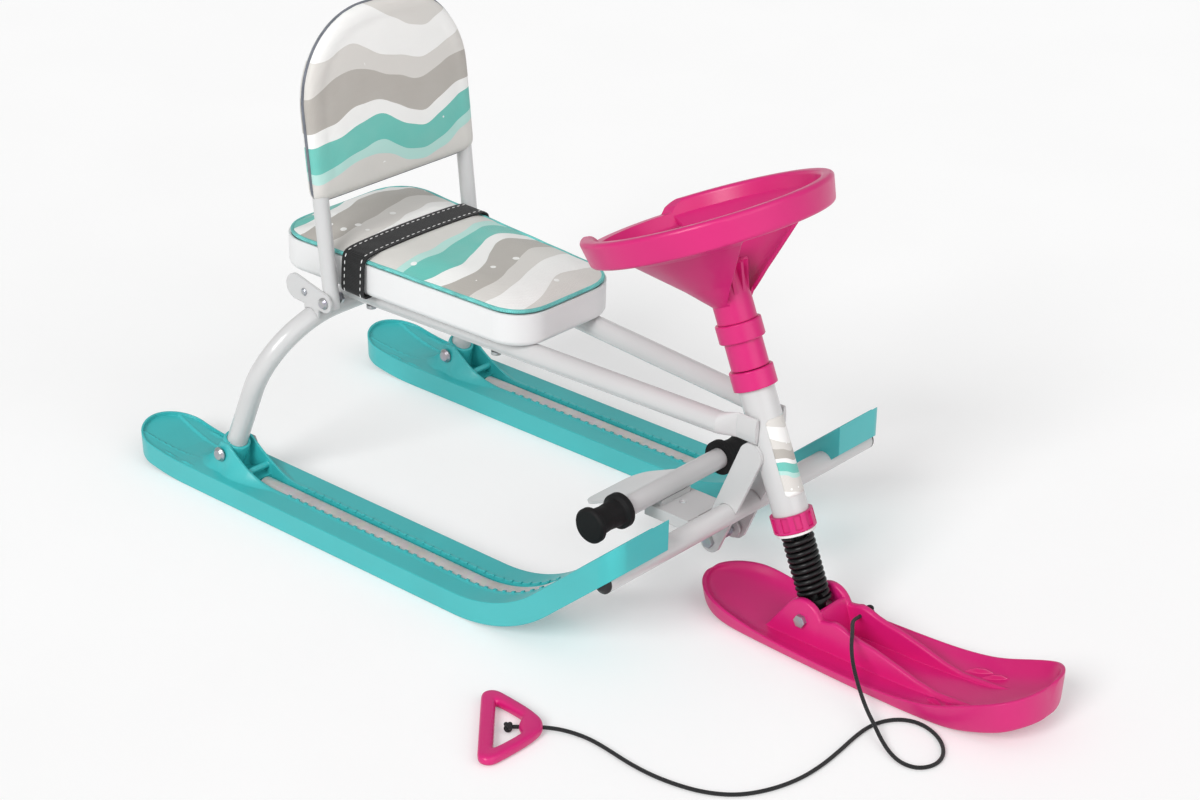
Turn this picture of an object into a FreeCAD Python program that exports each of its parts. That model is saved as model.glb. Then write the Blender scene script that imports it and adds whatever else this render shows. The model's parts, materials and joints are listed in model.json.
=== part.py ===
"""Steering sled: welded tube frame on two rear skis, sprung and steered front ski, folding backrest,
foot brake and tow cord. +X points forward, +Y to the rider's left, +Z up, and the origin is on the
ground in the middle of the sled."""
import FreeCAD, Part
import math
import os
import Sketcher

V = FreeCAD.Vector
Placement = FreeCAD.Placement
Rotation = FreeCAD.Rotation
X_AXIS = V(1, 0, 0)
Y_AXIS = V(0, 1, 0)
Z_AXIS = V(0, 0, 1)
SIDES = {"left": 1, "right": -1}
# Height of a sloping web panel's section as a multiple of its thickness
WEB_SLANT_SHARE = 1.4
# Lengths of the front ski's round tail and of its rounded tip, as shares of its whole length
TAIL_END_SHARE = 0.13
TIP_END_SHARE = 0.105

# Driving dimensions, in millimetres and degrees.
SIZES = {
    # Whole sled
    "tail_length": 593,
    "track": 382,
    "clearance": 0.3,
    "running_clearance": 0.05,
    "overrun": 6,
    # Frame tubes
    "tube_diameter": 25,
    "tube_wall": 1.5,
    # Rear skis
    "ski_width": 87,
    "ski_height": 27.6,
    "ski_wall": 3,
    "ski_length": 800,
    "ski_flat_length": 561,
    "ski_sole_radius": 220,
    "ski_rise_angle": 40.5,
    "groove_floor": 3,
    "groove_start": 198,
    "lip_height": 2.6,
    "tab_length": 5,
    "tab_height": 2.4,
    "tab_overhang": 1.4,
    "tab_pitch": 15,
    "tail_rim": 5,
    "tail_recess_depth": 7,
    "tail_ridge_width": 3,
    "tail_ridge_height": 3,
    "tail_ridge_step": 11,
    # Boss that holds the arch leg on each rear ski
    "boss_width": 46,
    "boss_height": 72,
    "boss_top_length": 26,
    "boss_rear_length": 48,
    "boss_front_length": 131,
    "boss_pin_diameter": 8,
    "boss_pin_height": 44,
    "ski_bolt_from_tail": 152.5,
    "ski_bolt_height": 49.5,
    "ski_bolt_diameter": 8,
    "ski_bolt_head_diameter": 18,
    "ski_bolt_head_height": 4.5,
    "ski_nut_width": 13,
    "ski_nut_height": 6.5,
    # Rear arch
    "arch_tilt": 24,
    "arch_bend_radius": 100,
    "arch_rise": 198,
    "arch_foot": 16,
    # Seat and its main tubes
    "seat_slope": 1.6,
    "seat_above_arch": 30.5,
    "main_tube_rear_spread": 147,
    "main_tube_front_spread": 66,
    "main_tube_length": 541,
    "main_tube_flare": 16,
    "main_tube_flat_thickness": 6,
    "main_tube_flat_height": 30,
    "main_tube_flat_length": 26,
    "seat_rear_length": 90,
    "seat_length": 383,
    "seat_rear_width": 218,
    "seat_front_width": 166,
    "seat_corner_radius": 44,
    "pan_height": 40,
    "pan_wall": 3,
    "pan_floor": 4,
    "pan_bottom_radius": 8,
    "cushion_thickness": 7,
    "cushion_crown": 5,
    "cushion_edge": 7,
    "seat_screw_diameter": 6,
    "seat_screw_head_diameter": 12,
    "seat_screw_head_height": 4,
    "seat_screw_rear": 40,
    "seat_screw_front": 230,
    "seat_nut_width": 10,
    "seat_nut_height": 5,
    # Strap across the seat
    "strap_width": 37,
    "strap_thickness": 1.8,
    "strap_forward": 45,
    "strap_flare": 3,
    "strap_corner_radius": 9,
    "strap_tuck": 12,
    "strap_tuck_radius": 3,
    # Backrest
    "hinge_forward": 22,
    "hinge_above_arch": 19,
    "backrest_lean": 5.5,
    "backrest_tube_diameter": 19,
    "backrest_tube_wall": 1.5,
    "backrest_leg_width": 234,
    "backrest_foot_length": 9.5,
    "backrest_bend_radius": 90,
    "backrest_tube_height": 316,
    "pad_bottom_above_hinge": 121,
    "pad_width": 258,
    "pad_height": 212,
    "pad_shoulder_radius": 104,
    "pad_bottom_radius": 10,
    "pad_thickness": 27,
    "pad_edge": 9,
    "pad_crown_inset": 34,
    "hinge_plate_thickness": 3,
    "hinge_plate_lobe_radius": 12,
    "hinge_plate_rear_radius": 16,
    "hinge_plate_length": 48,
    "hinge_plate_rise": 8,
    "hinge_plate_foot_width": 24,
    "hinge_plate_foot_drop": 21,
    "hinge_bolt_diameter": 8,
    "hinge_bolt_head_diameter": 14,
    "hinge_bolt_head_height": 4,
    "hinge_nut_width": 13,
    "hinge_nut_height": 4,
    "rivet_diameter": 5,
    "rivet_head_diameter": 9,
    "rivet_head_height": 2,
    "rivet_from_bolt": 33,
    # Cross tube
    "cross_from_tail": 778,
    "cross_height": 120,
    "plug_flange": 4,
    "plug_gap": 1.5,
    "cross_notch_gap": 1.5,
    "plug_depth": 15,
    # Head tube and steering column
    "head_from_cross": 69.4,
    "head_low_height": 138.3,
    "head_tilt": 22.1,
    "head_length": 145,
    "head_diameter": 40,
    "head_wall": 2,
    "column_diameter": 20,
    "column_wall": 2,
    "column_shoulder_diameter": 27,
    "column_shoulder": 3,
    "upper_collar_diameter": 49,
    "upper_collar": 21,
    "collar_skirt": 24,
    "collar_lap": 1,
    "lower_collar_diameter": 48,
    "lower_collar": 19,
    "lower_collar_notch": 8,
    "lower_collar_notch_depth": 2.2,
    "lower_collar_notches": 10,
    "thrust_washer_diameter": 44,
    "thrust_washer": 3,
    # Sleeve and steering wheel
    "sleeve_gap": 1,
    "sleeve_diameter": 42,
    "sleeve_length": 31,
    "flange_diameter": 51,
    "flange_length": 20.5,
    "neck_diameter": 44,
    "neck_length": 20,
    "wheel_diameter": 280,
    "wheel_above_head": 330,
    "rim_height": 31,
    "rim_width": 14.5,
    "rim_rounding": 4.6,
    "rim_taper": 6,
    "notch_depth": 12,
    "notch_width": 118,
    "notch_ramp": 6,
    "web_thickness": 4,
    "opening_neck_length": 13,
    "opening_neck_width": 45,
    "opening_rim_length": 95,
    "opening_rim_width": 110,
    "web_low_radius": 46,
    "web_low_rise": 25,
    "web_high_radius": 94,
    "web_high_drop": 8,
    "web_end_rise": 12,
    "hub_top_above_neck": 64,
    "hub_ribs": 12,
    "hub_rib_thickness": 4,
    "hub_rib_depth": 7,
    "hub_rib_height": 42,
    "wheel_screw_diameter": 5,
    "wheel_screw_head_diameter": 9,
    "wheel_screw_head_height": 3,
    # Front spring
    "spring_diameter": 36,
    "spring_wire": 5.9,
    "spring_pitch": 6.4,
    "spring_turns": 10.75,
    "spring_seat_diameter": 38,
    "spring_seat": 3,
    # Front ski
    "pivot_drop": 113,
    "front_ski_tail": 150,
    "front_ski_reach": 296,
    "front_ski_width": 130,
    "front_ski_height": 63,
    "front_ski_flare": 5,
    "front_ski_wall": 3.5,
    "front_ski_floor": 4,
    "front_ski_deck": 8.5,
    "front_ski_sole_trim": 0.2,
    "front_ski_flat_rear": 70,
    "front_ski_flat_ahead": 180,
    "front_keel_width": 14,
    "bracket_gap": 41,
    "bracket_wall": 9,
    "bracket_peak_radius": 24,
    "bracket_rear_length": 50,
    "bracket_nose_length": 205,
    "bracket_crest_height": 45.5,
    "bracket_web": 4,
    "bracket_web_ahead": 16,
    "bracket_web_run": 16,
    "bracket_web_rise": 14,
    "bracket_boss_diameter": 16,
    "front_bolt_diameter": 8,
    "front_bolt_head_width": 13,
    "front_bolt_head_height": 5,
    "front_nut_height": 6.5,
    "cord_hole_ahead": 40,
    "cord_hole_height": 32,
    "cord_hole_diameter": 7,
    # Struts and brake
    "strut_thickness": 4,
    "strut_top_radius": 15,
    "strut_run": 53,
    "strut_rise": 122,
    "ear_behind_cross": 23,
    "ear_below_cross": 41,
    "ear_radius": 14,
    "lever_thickness": 3,
    "lever_inner_width": 28,
    "lever_ear_radius": 11,
    "lever_top_rise": 18,
    "lever_arm_width": 63,
    "lever_arm_start": 25,
    "lever_arm_end": 113,
    "lever_arm_flange": 14,
    "lever_blade_length": 88,
    "lever_blade_width": 102,
    "lever_blade_angle": 23,
    "lever_blade_corner": 24,
    "lever_hole_diameter": 8,
    "lever_hole_from_pivot": 59,
    "saddle_length": 16,
    "saddle_width": 50,
    "footrest_behind_pivot": 77,
    "footrest_above_pivot": 34.5,
    "footrest_diameter": 24,
    "footrest_length": 266,
    "grip_length": 54,
    "grip_diameter": 32,
    "grip_waist_diameter": 29,
    "grip_flange_diameter": 41,
    "grip_flange": 7,
    "grip_cap": 5,
    "brake_bolt_diameter": 8,
    "brake_bolt_head_width": 13,
    "brake_bolt_head_height": 5,
    "brake_spring_diameter": 12.6,
    "brake_spring_wire": 2,
    "brake_spring_pitch": 2.8,
    "brake_spring_turns": 6,
    # Tow cord and handle
    "cord_diameter": 4.3,
    "cord_unit_length": 100,
    "knot_diameter": 12,
    "knot_length": 9,
    "handle_length": 133,
    "handle_depth": 66,
    "handle_bar": 15,
    "handle_thickness": 12,
    "handle_corner_radius": 9,
    "handle_nose_to_cord_end": 36,
}

doc = FreeCAD.newDocument("SteeringSled")
sheet = doc.addObject("Spreadsheet::Sheet", "Size")
for row, (name, value) in enumerate(SIZES.items(), start=1):
    sheet.set(f"A{row}", name)
    sheet.set(f"B{row}", str(value))
    sheet.setAlias(f"B{row}", name)
doc.recompute()


def size(name):
    """A driving dimension, read back from the sheet."""
    return float(sheet.get(name))


def worked_out(expression):
    """Number that an expression on the sheet comes to."""
    return float(sheet.evalExpression(expression))


# Helpers: places

def turned_about_y(angle):
    """Rotation about +Y, in degrees."""
    return Rotation(Y_AXIS, angle)


def along(direction):
    """Rotation that lays a piece's own +Z along a direction."""
    return Rotation(Z_AXIS, direction)


def at(place, x, y, z):
    """Row-frame point of a local one."""
    return place.multVec(V(x, y, z))


def moved(place, x, y, z, rotation=Rotation()):
    """Placement of a local offset inside another placement."""
    return place.multiply(Placement(V(x, y, z), rotation))


# Helpers: features

def origin_plane(body, role):
    """One of a body's own origin planes."""
    return next(item for item in body.Origin.OriginFeatures if item.Role == role)


def new_sketch(body, name, role):
    """Sketch on an origin plane of its body."""
    sketch = body.newObject("Sketcher::SketchObject", name)
    sketch.AttachmentSupport = [(origin_plane(body, role), "")]
    sketch.MapMode = "FlatFace"
    return sketch


def bind(sketch, index, expression):
    """Tie a sketch dimension to the sheet."""
    sketch.setExpression(f"Constraints[{index}]", expression)


def dimension(sketch, kind, geometry, point, expression):
    """Distance of a sketch point from the origin, tied to the sheet."""
    guess = worked_out(expression)
    index = sketch.addConstraint(Sketcher.Constraint(kind, -1, 1, geometry, point, guess))
    bind(sketch, index, expression)


def polygon(sketch, corners):
    """Closed outline of straight lines, each corner a pair of expressions."""
    points = [V(worked_out(u), worked_out(v), 0) for u, v in corners]
    count = len(corners)
    first = sketch.GeometryCount
    for index in range(count):
        sketch.addGeometry(Part.LineSegment(points[index], points[(index + 1) % count]), False)
    for index in range(count):
        following = first + (index + 1) % count
        sketch.addConstraint(Sketcher.Constraint("Coincident", first + index, 2, following, 1))
    for index, (u, v) in enumerate(corners):
        dimension(sketch, "DistanceX", first + index, 1, u)
        dimension(sketch, "DistanceY", first + index, 1, v)


def rounded_polygon(sketch, corners, radius):
    """Closed outline with every corner rounded; corners are pairs of expressions, radius is one."""
    points = [V(worked_out(u), worked_out(v), 0) for u, v in corners]
    bend = worked_out(radius)
    count = len(corners)
    arcs = []
    for index, corner in enumerate(points):
        start, middle, end = corner_arc(points[index - 1], corner, points[(index + 1) % count], bend)
        arcs.append(sketch.addGeometry(Part.Arc(start, middle, end), False))
    lines = []
    for index in range(count):
        ends = []
        for corner, other in ((index, (index + 1) % count), ((index + 1) % count, index)):
            before = points[corner - 1]
            after = points[(corner + 1) % count]
            start, middle, end = corner_arc(before, points[corner], after, bend)
            ends.append(end if other == (corner + 1) % count else start)
        lines.append(sketch.addGeometry(Part.LineSegment(*ends), False))
    for index, arc in enumerate(arcs):
        for line, line_end in ((lines[index], 1), (lines[index - 1], 2)):
            touch = sketch.getPoint(line, line_end)
            arc_end = min((1, 2), key=lambda end: (sketch.getPoint(arc, end) - touch).Length)
            sketch.addConstraint(Sketcher.Constraint("Tangent", arc, arc_end, line, line_end))
        bind(sketch, sketch.addConstraint(Sketcher.Constraint("Radius", arc, bend)), radius)
    for index, (u, v) in enumerate(corners):
        mark = sketch.addGeometry(Part.Point(points[index]), True)
        dimension(sketch, "DistanceX", mark, 1, u)
        dimension(sketch, "DistanceY", mark, 1, v)
        for line in (lines[index], lines[index - 1]):
            sketch.addConstraint(Sketcher.Constraint("PointOnObject", mark, 1, line))


def corner_arc(before, corner, after, radius):
    """Start, middle and end of the tangent arc that rounds a corner."""
    back = (before - corner).normalize()
    ahead = (after - corner).normalize()
    half_turn = (math.pi - back.getAngle(ahead)) / 2
    trim = radius * math.tan(half_turn)
    middle = (back + ahead).normalize() * (radius / math.cos(half_turn) - radius)
    return corner + back * trim, corner + middle, corner + ahead * trim


def circle(sketch, u, v, radius):
    """Circle with its centre and radius as expressions."""
    shape = Part.Circle(V(worked_out(u), worked_out(v), 0), Z_AXIS, worked_out(radius))
    index = sketch.addGeometry(shape, False)
    dimension(sketch, "DistanceX", index, 3, u)
    dimension(sketch, "DistanceY", index, 3, v)
    bind(sketch, sketch.addConstraint(Sketcher.Constraint("Radius", index, shape.Radius)), radius)


def link(sketch, first, second):
    """Outline of two round ends joined by their tangents, each end as (u, v, radius) expressions."""
    centres = [V(worked_out(u), worked_out(v), 0) for u, v, radius in (first, second)]
    radii = [worked_out(end[2]) for end in (first, second)]
    run = centres[1] - centres[0]
    heading = math.atan2(run.y, run.x)
    half = math.acos((radii[0] - radii[1]) / run.Length)
    start = sketch.GeometryCount
    for centre, radius, low, high in (
            (centres[0], radii[0], heading + half, heading - half + 2 * math.pi),
            (centres[1], radii[1], heading - half, heading + half)):
        sketch.addGeometry(Part.ArcOfCircle(Part.Circle(centre, Z_AXIS, radius), low, high), False)
    for turn in (half, -half):
        normal = V(math.cos(heading + turn), math.sin(heading + turn), 0)
        ends = [centre + normal * radius for centre, radius in zip(centres, radii)]
        sketch.addGeometry(Part.LineSegment(*ends), False)
    for arc, arc_end, line, line_end in ((0, 1, 2, 1), (1, 2, 2, 2), (0, 2, 3, 1), (1, 1, 3, 2)):
        sketch.addConstraint(
            Sketcher.Constraint("Tangent", start + arc, arc_end, start + line, line_end))
    for index, (u, v, radius) in enumerate((first, second)):
        dimension(sketch, "DistanceX", start + index, 3, u)
        dimension(sketch, "DistanceY", start + index, 3, v)
        item = sketch.addConstraint(Sketcher.Constraint("Radius", start + index, radii[index]))
        bind(sketch, item, radius)


def revolve(body, name, corners, angle="360", role="XZ_Plane", rounding=None):
    """Ring or sector turned about the body's Z axis, from a profile of (radius, height) corners."""
    sketch = new_sketch(body, f"{name}_profile", role)
    if rounding:
        rounded_polygon(sketch, corners, rounding)
    else:
        polygon(sketch, corners)
    feature = body.newObject("PartDesign::Revolution", name)
    feature.Profile = sketch
    feature.ReferenceAxis = (sketch, ["V_Axis"])
    feature.Midplane = True
    feature.setExpression("Angle", angle)
    doc.recompute()
    return feature


def pad(body, name, role, draw, length):
    """Slab of a drawn outline, centred on its origin plane."""
    sketch = new_sketch(body, f"{name}_outline", role)
    draw(sketch)
    feature = body.newObject("PartDesign::Pad", name)
    feature.Profile = sketch
    feature.Midplane = True
    feature.setExpression("Length", length)
    doc.recompute()
    return feature


def pocket(body, name, role, draw, both_ways=True):
    """Cut of a drawn outline right through the body, both ways from its plane or against its normal."""
    before = body.Shape.Volume
    sketch = new_sketch(body, f"{name}_outline", role)
    draw(sketch)
    feature = body.newObject("PartDesign::Pocket", name)
    feature.Profile = sketch
    feature.Type = "ThroughAll"
    feature.Midplane = both_ways
    doc.recompute()
    if not body.Shape.Volume < before:
        raise ValueError(f"{name} removes nothing")
    return feature


def new_body(label, place):
    """Sub-part made of part-design features, standing at a placement."""
    body = doc.addObject("PartDesign::Body", label)
    body.Label = label
    body.Placement = place
    return body


def fillet(body, name, radius, chosen):
    """Round the edges of a body that a test picks."""
    doc.recompute()
    base = body.Tip
    names = [f"Edge{number}" for number, edge in enumerate(base.Shape.Edges, start=1) if chosen(edge)]
    feature = body.newObject("PartDesign::Fillet", name)
    feature.Base = (base, names)
    feature.setExpression("Radius", radius)
    doc.recompute()
    return feature


def turned(label, corners, place):
    """Turned sub-part."""
    body = new_body(label, place)
    revolve(body, f"{label}_turning", corners)
    return body


def cylinder(name, radius, height, place):
    """Cylinder along its own Z, with its sizes as expressions."""
    item = doc.addObject("Part::Cylinder", name)
    item.setExpression("Radius", radius)
    item.setExpression("Height", height)
    item.Placement = place
    return item


def cut(label, base, tool):
    """Difference of two objects as a labelled sub-part."""
    item = doc.addObject("Part::Cut", label)
    item.Label = label
    item.Base = base
    item.Tool = tool
    return item


def group(label, items):
    """Identical pieces as one sub-part of separate solids."""
    item = doc.addObject("Part::Compound", label)
    item.Label = label
    item.Links = items
    return item


def straight_tube(label, diameter, wall, length, place):
    """Round tube along its own Z, open at both ends."""
    outer = cylinder(f"{label}_outside", f"{diameter} / 2", length, place)
    inner = cylinder(f"{label}_bore", f"{diameter} / 2 - {wall}", length, place)
    return cut(label, outer, inner)


def u_tube(label, diameter, wall, spacing, height, radius, place):
    """Inverted U bent from one tube: legs on the XY plane, standing up along Z, apart along Y."""
    body = new_body(label, place)
    half = worked_out(f"{spacing} / 2")
    top = worked_out(height)
    bend = worked_out(radius)
    spine = new_sketch(body, f"{label}_line", "YZ_Plane")
    quarter = math.pi / 2
    left_bend = Part.Circle(V(bend - half, top - bend, 0), Z_AXIS, bend)
    right_bend = Part.Circle(V(half - bend, top - bend, 0), Z_AXIS, bend)
    for item in (
            Part.LineSegment(V(-half, 0, 0), V(-half, top - bend, 0)),
            Part.ArcOfCircle(left_bend, quarter, math.pi),
            Part.LineSegment(V(bend - half, top, 0), V(half - bend, top, 0)),
            Part.ArcOfCircle(right_bend, 0, quarter),
            Part.LineSegment(V(half, top - bend, 0), V(half, 0, 0))):
        spine.addGeometry(item, False)
    for first, end, second, other in ((0, 2, 1, 2), (1, 1, 2, 1), (2, 2, 3, 2), (3, 1, 4, 1)):
        spine.addConstraint(Sketcher.Constraint("Tangent", first, end, second, other))
    spine.addConstraint(Sketcher.Constraint("Vertical", 0))
    spine.addConstraint(Sketcher.Constraint("Horizontal", 2))
    spine.addConstraint(Sketcher.Constraint("Equal", 1, 3))
    bind(spine, spine.addConstraint(Sketcher.Constraint("Radius", 1, bend)), radius)
    dimension(spine, "DistanceX", 0, 1, f"-{spacing} / 2")
    dimension(spine, "DistanceX", 4, 2, f"{spacing} / 2")
    dimension(spine, "DistanceY", 2, 1, height)
    spine.addConstraint(Sketcher.Constraint("PointOnObject", 0, 1, -1))
    spine.addConstraint(Sketcher.Constraint("PointOnObject", 4, 2, -1))
    ring = new_sketch(body, f"{label}_section", "XY_Plane")
    for ring_radius in (f"{diameter} / 2", f"{diameter} / 2 - {wall}"):
        circle(ring, "0", f"-{spacing} / 2", ring_radius)
    pipe = body.newObject("PartDesign::AdditivePipe", f"{label}_pipe")
    pipe.Profile = ring
    pipe.Spine = (spine, [f"Edge{number}" for number in range(1, 6)])
    doc.recompute()
    return body


def shaped(label, shape, place=Placement()):
    """Sub-part whose moulded or wound form is worked out below from the sheet's sizes."""
    item = doc.addObject("Part::Feature", label)
    item.Label = label
    item.Shape = shape
    item.Placement = place.multiply(shape.Placement)
    return item


def placed(shape, place):
    """Copy of a shape at a placement."""
    result = shape.copy()
    result.Placement = place.multiply(result.Placement)
    return result


def rod(radius, start, end):
    """Plain round solid between two points."""
    return Part.makeCylinder(radius, (end - start).Length, start, end - start)


def slab(points, direction):
    """Solid of a closed outline of points, swept along a vector."""
    wire = Part.makePolygon(points + points[:1])
    return Part.Face(wire).extrude(direction)


def fused(shapes):
    """One solid from touching shapes, with its seams cleaned away."""
    return shapes[0].multiFuse(shapes[1:]).removeSplitter()


def bolt(label, shank_diameter, shank_length, head_diameter, head_height, places, dome=False):
    """Round-headed bolts; each shank runs along its placement's +Z from under the head."""
    top = f"-{head_height}"
    head = [(f"{shank_diameter} / 2", "0"), (f"{head_diameter} / 2", "0")]
    if dome:
        head += [(f"{head_diameter} / 2", f"{top} / 3"), (f"{head_diameter} / 3", top), ("0", top)]
    else:
        head += [(f"{head_diameter} / 2", top), ("0", top)]
    corners = head + [("0", shank_length), (f"{shank_diameter} / 2", shank_length)]
    items = [turned(f"{label}_{number}", corners, place) for number, place in enumerate(places, 1)]
    return group(label, items) if len(items) > 1 else named(items[0], label)


def named(item, label):
    """Give a sub-part its label."""
    item.Label = label
    return item


def hexagon(name, width, height, bore, place):
    """Hexagonal nut along its own Z, with a round bore."""
    prism = doc.addObject("Part::Prism", f"{name}_prism")
    prism.Polygon = 6
    prism.setExpression("Circumradius", f"{width} / sqrt(3)")
    prism.setExpression("Height", height)
    prism.Placement = place
    return cut(name, prism, cylinder(f"{name}_bore", f"{bore} / 2", height, place))


def nuts(label, width, height, bore, places):
    """Identical nuts."""
    items = [hexagon(f"{label}_{number}", width, height, bore, place)
             for number, place in enumerate(places, 1)]
    return group(label, items) if len(items) > 1 else named(items[0], label)


# Places that several sub-parts share

gap = size("clearance")
run_gap = size("running_clearance")
over = size("overrun")
tube_radius = size("tube_diameter") / 2
tail_x = -size("tail_length")
ski_y = size("track") / 2
bolt_x = tail_x + size("ski_bolt_from_tail")
bolt_z = size("ski_bolt_height")
arch_place = Placement(V(bolt_x, 0, bolt_z), turned_about_y(size("arch_tilt")))
arch_top = at(arch_place, 0, 0, size("arch_rise"))
seat_place = Placement(V(arch_top.x, 0, arch_top.z + size("seat_above_arch")),
                       turned_about_y(size("seat_slope")))
cross_x = tail_x + size("cross_from_tail")
cross_z = size("cross_height")
head_low = V(cross_x + size("head_from_cross"), 0, size("head_low_height"))
steer_place = Placement(head_low, turned_about_y(-size("head_tilt")))
pivot = at(steer_place, 0, 0, -size("pivot_drop"))
# Length that keeps the cross tube and its plugs inside the rear skis' outer walls
CROSS_LENGTH = ("(Size.track + Size.ski_width"
                " - 2 * (Size.ski_wall + Size.plug_flange + Size.plug_gap))")
ear = V(cross_x - size("ear_behind_cross"), 0, cross_z - size("ear_below_cross"))
hinge = V(arch_top.x + size("hinge_forward"), 0, arch_top.z + size("hinge_above_arch"))
back_place = Placement(hinge, turned_about_y(-size("backrest_lean")))
leg_y = size("backrest_leg_width") / 2
leg_radius = size("backrest_tube_diameter") / 2


# Rear skis

def ski_line(low, high, start, bend, end, sole_radius, rise):
    """Side outline between two heights above a sole that runs flat, then bends up to a straight tip."""
    angle = math.radians(rise)
    edges = []
    corners = []
    for height in (low, high):
        radius = sole_radius - height
        middle = V(bend + radius * math.sin(angle / 2), 0, sole_radius - radius * math.cos(angle / 2))
        leave = V(bend + radius * math.sin(angle), 0, sole_radius - radius * math.cos(angle))
        first = V(start, 0, height)
        turn = V(bend, 0, height)
        last = V(end, 0, leave.z + (end - leave.x) * math.tan(angle))
        edges += [Part.makeLine(first, turn), Part.Arc(turn, middle, leave).toShape()]
        edges.append(Part.makeLine(leave, last))
        corners += [first, last]
    edges += [Part.makeLine(corners[0], corners[2]), Part.makeLine(corners[1], corners[3])]
    return Part.Face(Part.Wire(Part.__sortEdges__(edges)))


def rear_band(low, high, start, end, inner, outer):
    """Slab of the rear ski between two heights, two places along it and two distances across it."""
    face = ski_line(low, high, start, tail_x + size("ski_flat_length"), end,
                    size("ski_sole_radius"), size("ski_rise_angle"))
    face.translate(V(0, inner, 0))
    return face.extrude(V(0, outer - inner, 0))


def both_sides(make, inner, outer):
    """The same slab on each side of a ski's middle."""
    return [make(inner, outer), make(-outer, -inner)]


def tail_plan(inset, low, high):
    """Round-ended plan of the rear ski, drawn in by an inset and standing between two heights."""
    radius = size("ski_width") / 2 - inset
    centre = tail_x + size("ski_width") / 2
    length = size("ski_length")
    disc = Part.makeCylinder(radius, high - low, V(centre, 0, low))
    strip = Part.makeBox(length, 2 * radius, high - low, V(centre, -radius, low))
    return fused([disc, strip])


def boss_block(half_width):
    """Block around the arch leg: round rear, level top and a front that sweeps down in a hollow curve."""
    deck = size("ski_height")
    top = size("boss_height")
    rear = bolt_x - size("boss_rear_length")
    top_rear = bolt_x - size("boss_top_length") / 2
    top_front = bolt_x + size("boss_top_length") / 2
    front = bolt_x + size("boss_front_length")
    shoulder = V(rear, 0, deck)
    crest_rear = V(top_rear, 0, top)
    crest_front = V(top_front, 0, top)
    toe = V(front, 0, deck)
    rear_shares = (0.3, 0.7)
    front_shares = (0.25, 0.45)
    rear_middle = V(rear + (top_rear - rear) * rear_shares[0], 0, deck + (top - deck) * rear_shares[1])
    front_middle = V(top_front + (front - top_front) * front_shares[0], 0,
                     deck + (top - deck) * front_shares[1])
    foot_rear = V(rear, 0, deck - size("ski_wall"))
    foot_front = V(front, 0, deck - size("ski_wall"))
    edges = [
        Part.Arc(shoulder, rear_middle, crest_rear).toShape(),
        Part.makeLine(crest_rear, crest_front),
        Part.Arc(crest_front, front_middle, toe).toShape(),
        Part.makeLine(toe, foot_front),
        Part.makeLine(foot_front, foot_rear),
        Part.makeLine(foot_rear, shoulder),
    ]
    face = Part.Face(Part.Wire(edges))
    face.translate(V(0, -half_width, 0))
    return face.extrude(V(0, 2 * half_width, 0))


def rear_ski_shape(outward):
    """Moulded rear ski about its own middle line: walls, deck, groove with snap tabs, boss and tail.

    Outward is the side, 1 or -1, whose wall stays whole past the cross tube's end."""
    half = size("ski_width") / 2
    height = size("ski_height")
    wall = size("ski_wall")
    groove = tube_radius + gap
    start = tail_x + size("groove_start")
    end = tail_x + size("ski_length")
    lip_top = height + size("lip_height")
    tall = size("ski_length")
    shell = rear_band(0, height, tail_x - over, end, -half, half).common(tail_plan(0, -over, tall))
    lips = both_sides(
        lambda inner, outer: rear_band(height - wall, lip_top, start, end - wall, inner, outer),
        groove, groove + wall)
    body = fused([shell, boss_block(size("boss_width") / 2)] + lips)
    hollows = both_sides(
        lambda inner, outer: rear_band(-over, height - wall, tail_x, end - wall, inner, outer),
        groove + wall, half - wall)
    inside = tail_plan(wall, -over, tall)
    cuts = [hollow.common(inside) for hollow in hollows]
    groove_top = lip_top + size("boss_height")
    cuts.append(rear_band(size("groove_floor"), groove_top, start, end - wall, -groove, groove))
    recess_low = height - size("tail_recess_depth")
    cuts.append(behind_boss(tail_plan(size("tail_rim"), recess_low, height + over)))
    body = body.cut(Part.makeCompound(cuts))
    body = fused([body] + tail_floor(recess_low) + [boss_pin()] + snap_tabs(groove, lip_top))
    leg_low = at(arch_place, 0, 0, -size("arch_foot") - gap)
    leg_high = at(arch_place, 0, 0, size("boss_height"))
    bores = [
        rod(tube_radius + gap, leg_low, leg_high),
        rod(size("ski_bolt_diameter") / 2 + gap, V(bolt_x, -half, bolt_z), V(bolt_x, half, bolt_z)),
        rod(tube_radius + size("cross_notch_gap"), V(cross_x, -outward * (half + over), cross_z),
            V(cross_x, outward * (half - wall - gap), cross_z)),
    ]
    return body.cut(Part.makeCompound(bores))


def snap_tabs(groove, lip_top):
    """Rows of small tabs on the lips, reaching in over the runner tube."""
    wall = size("ski_wall")
    pitch = size("tab_pitch")
    first = bolt_x + size("boss_front_length") + pitch / 2
    depth = wall + size("tab_overhang")
    tabs = []
    for number in range(int((tail_x + size("ski_flat_length") - first) / pitch)):
        for low in (groove - size("tab_overhang"), -groove - wall):
            tabs.append(Part.makeBox(size("tab_length"), depth, size("tab_height") + wall,
                                     V(first + number * pitch, low, lip_top - wall)))
    return tabs


def behind_boss(shape):
    """Part of a shape that lies behind the boss."""
    ahead = Part.makeBox(size("ski_length"), size("ski_width"), size("boss_height"),
                         V(bolt_x - size("boss_rear_length"), -size("ski_width") / 2, 0))
    return shape.cut(ahead)


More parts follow.
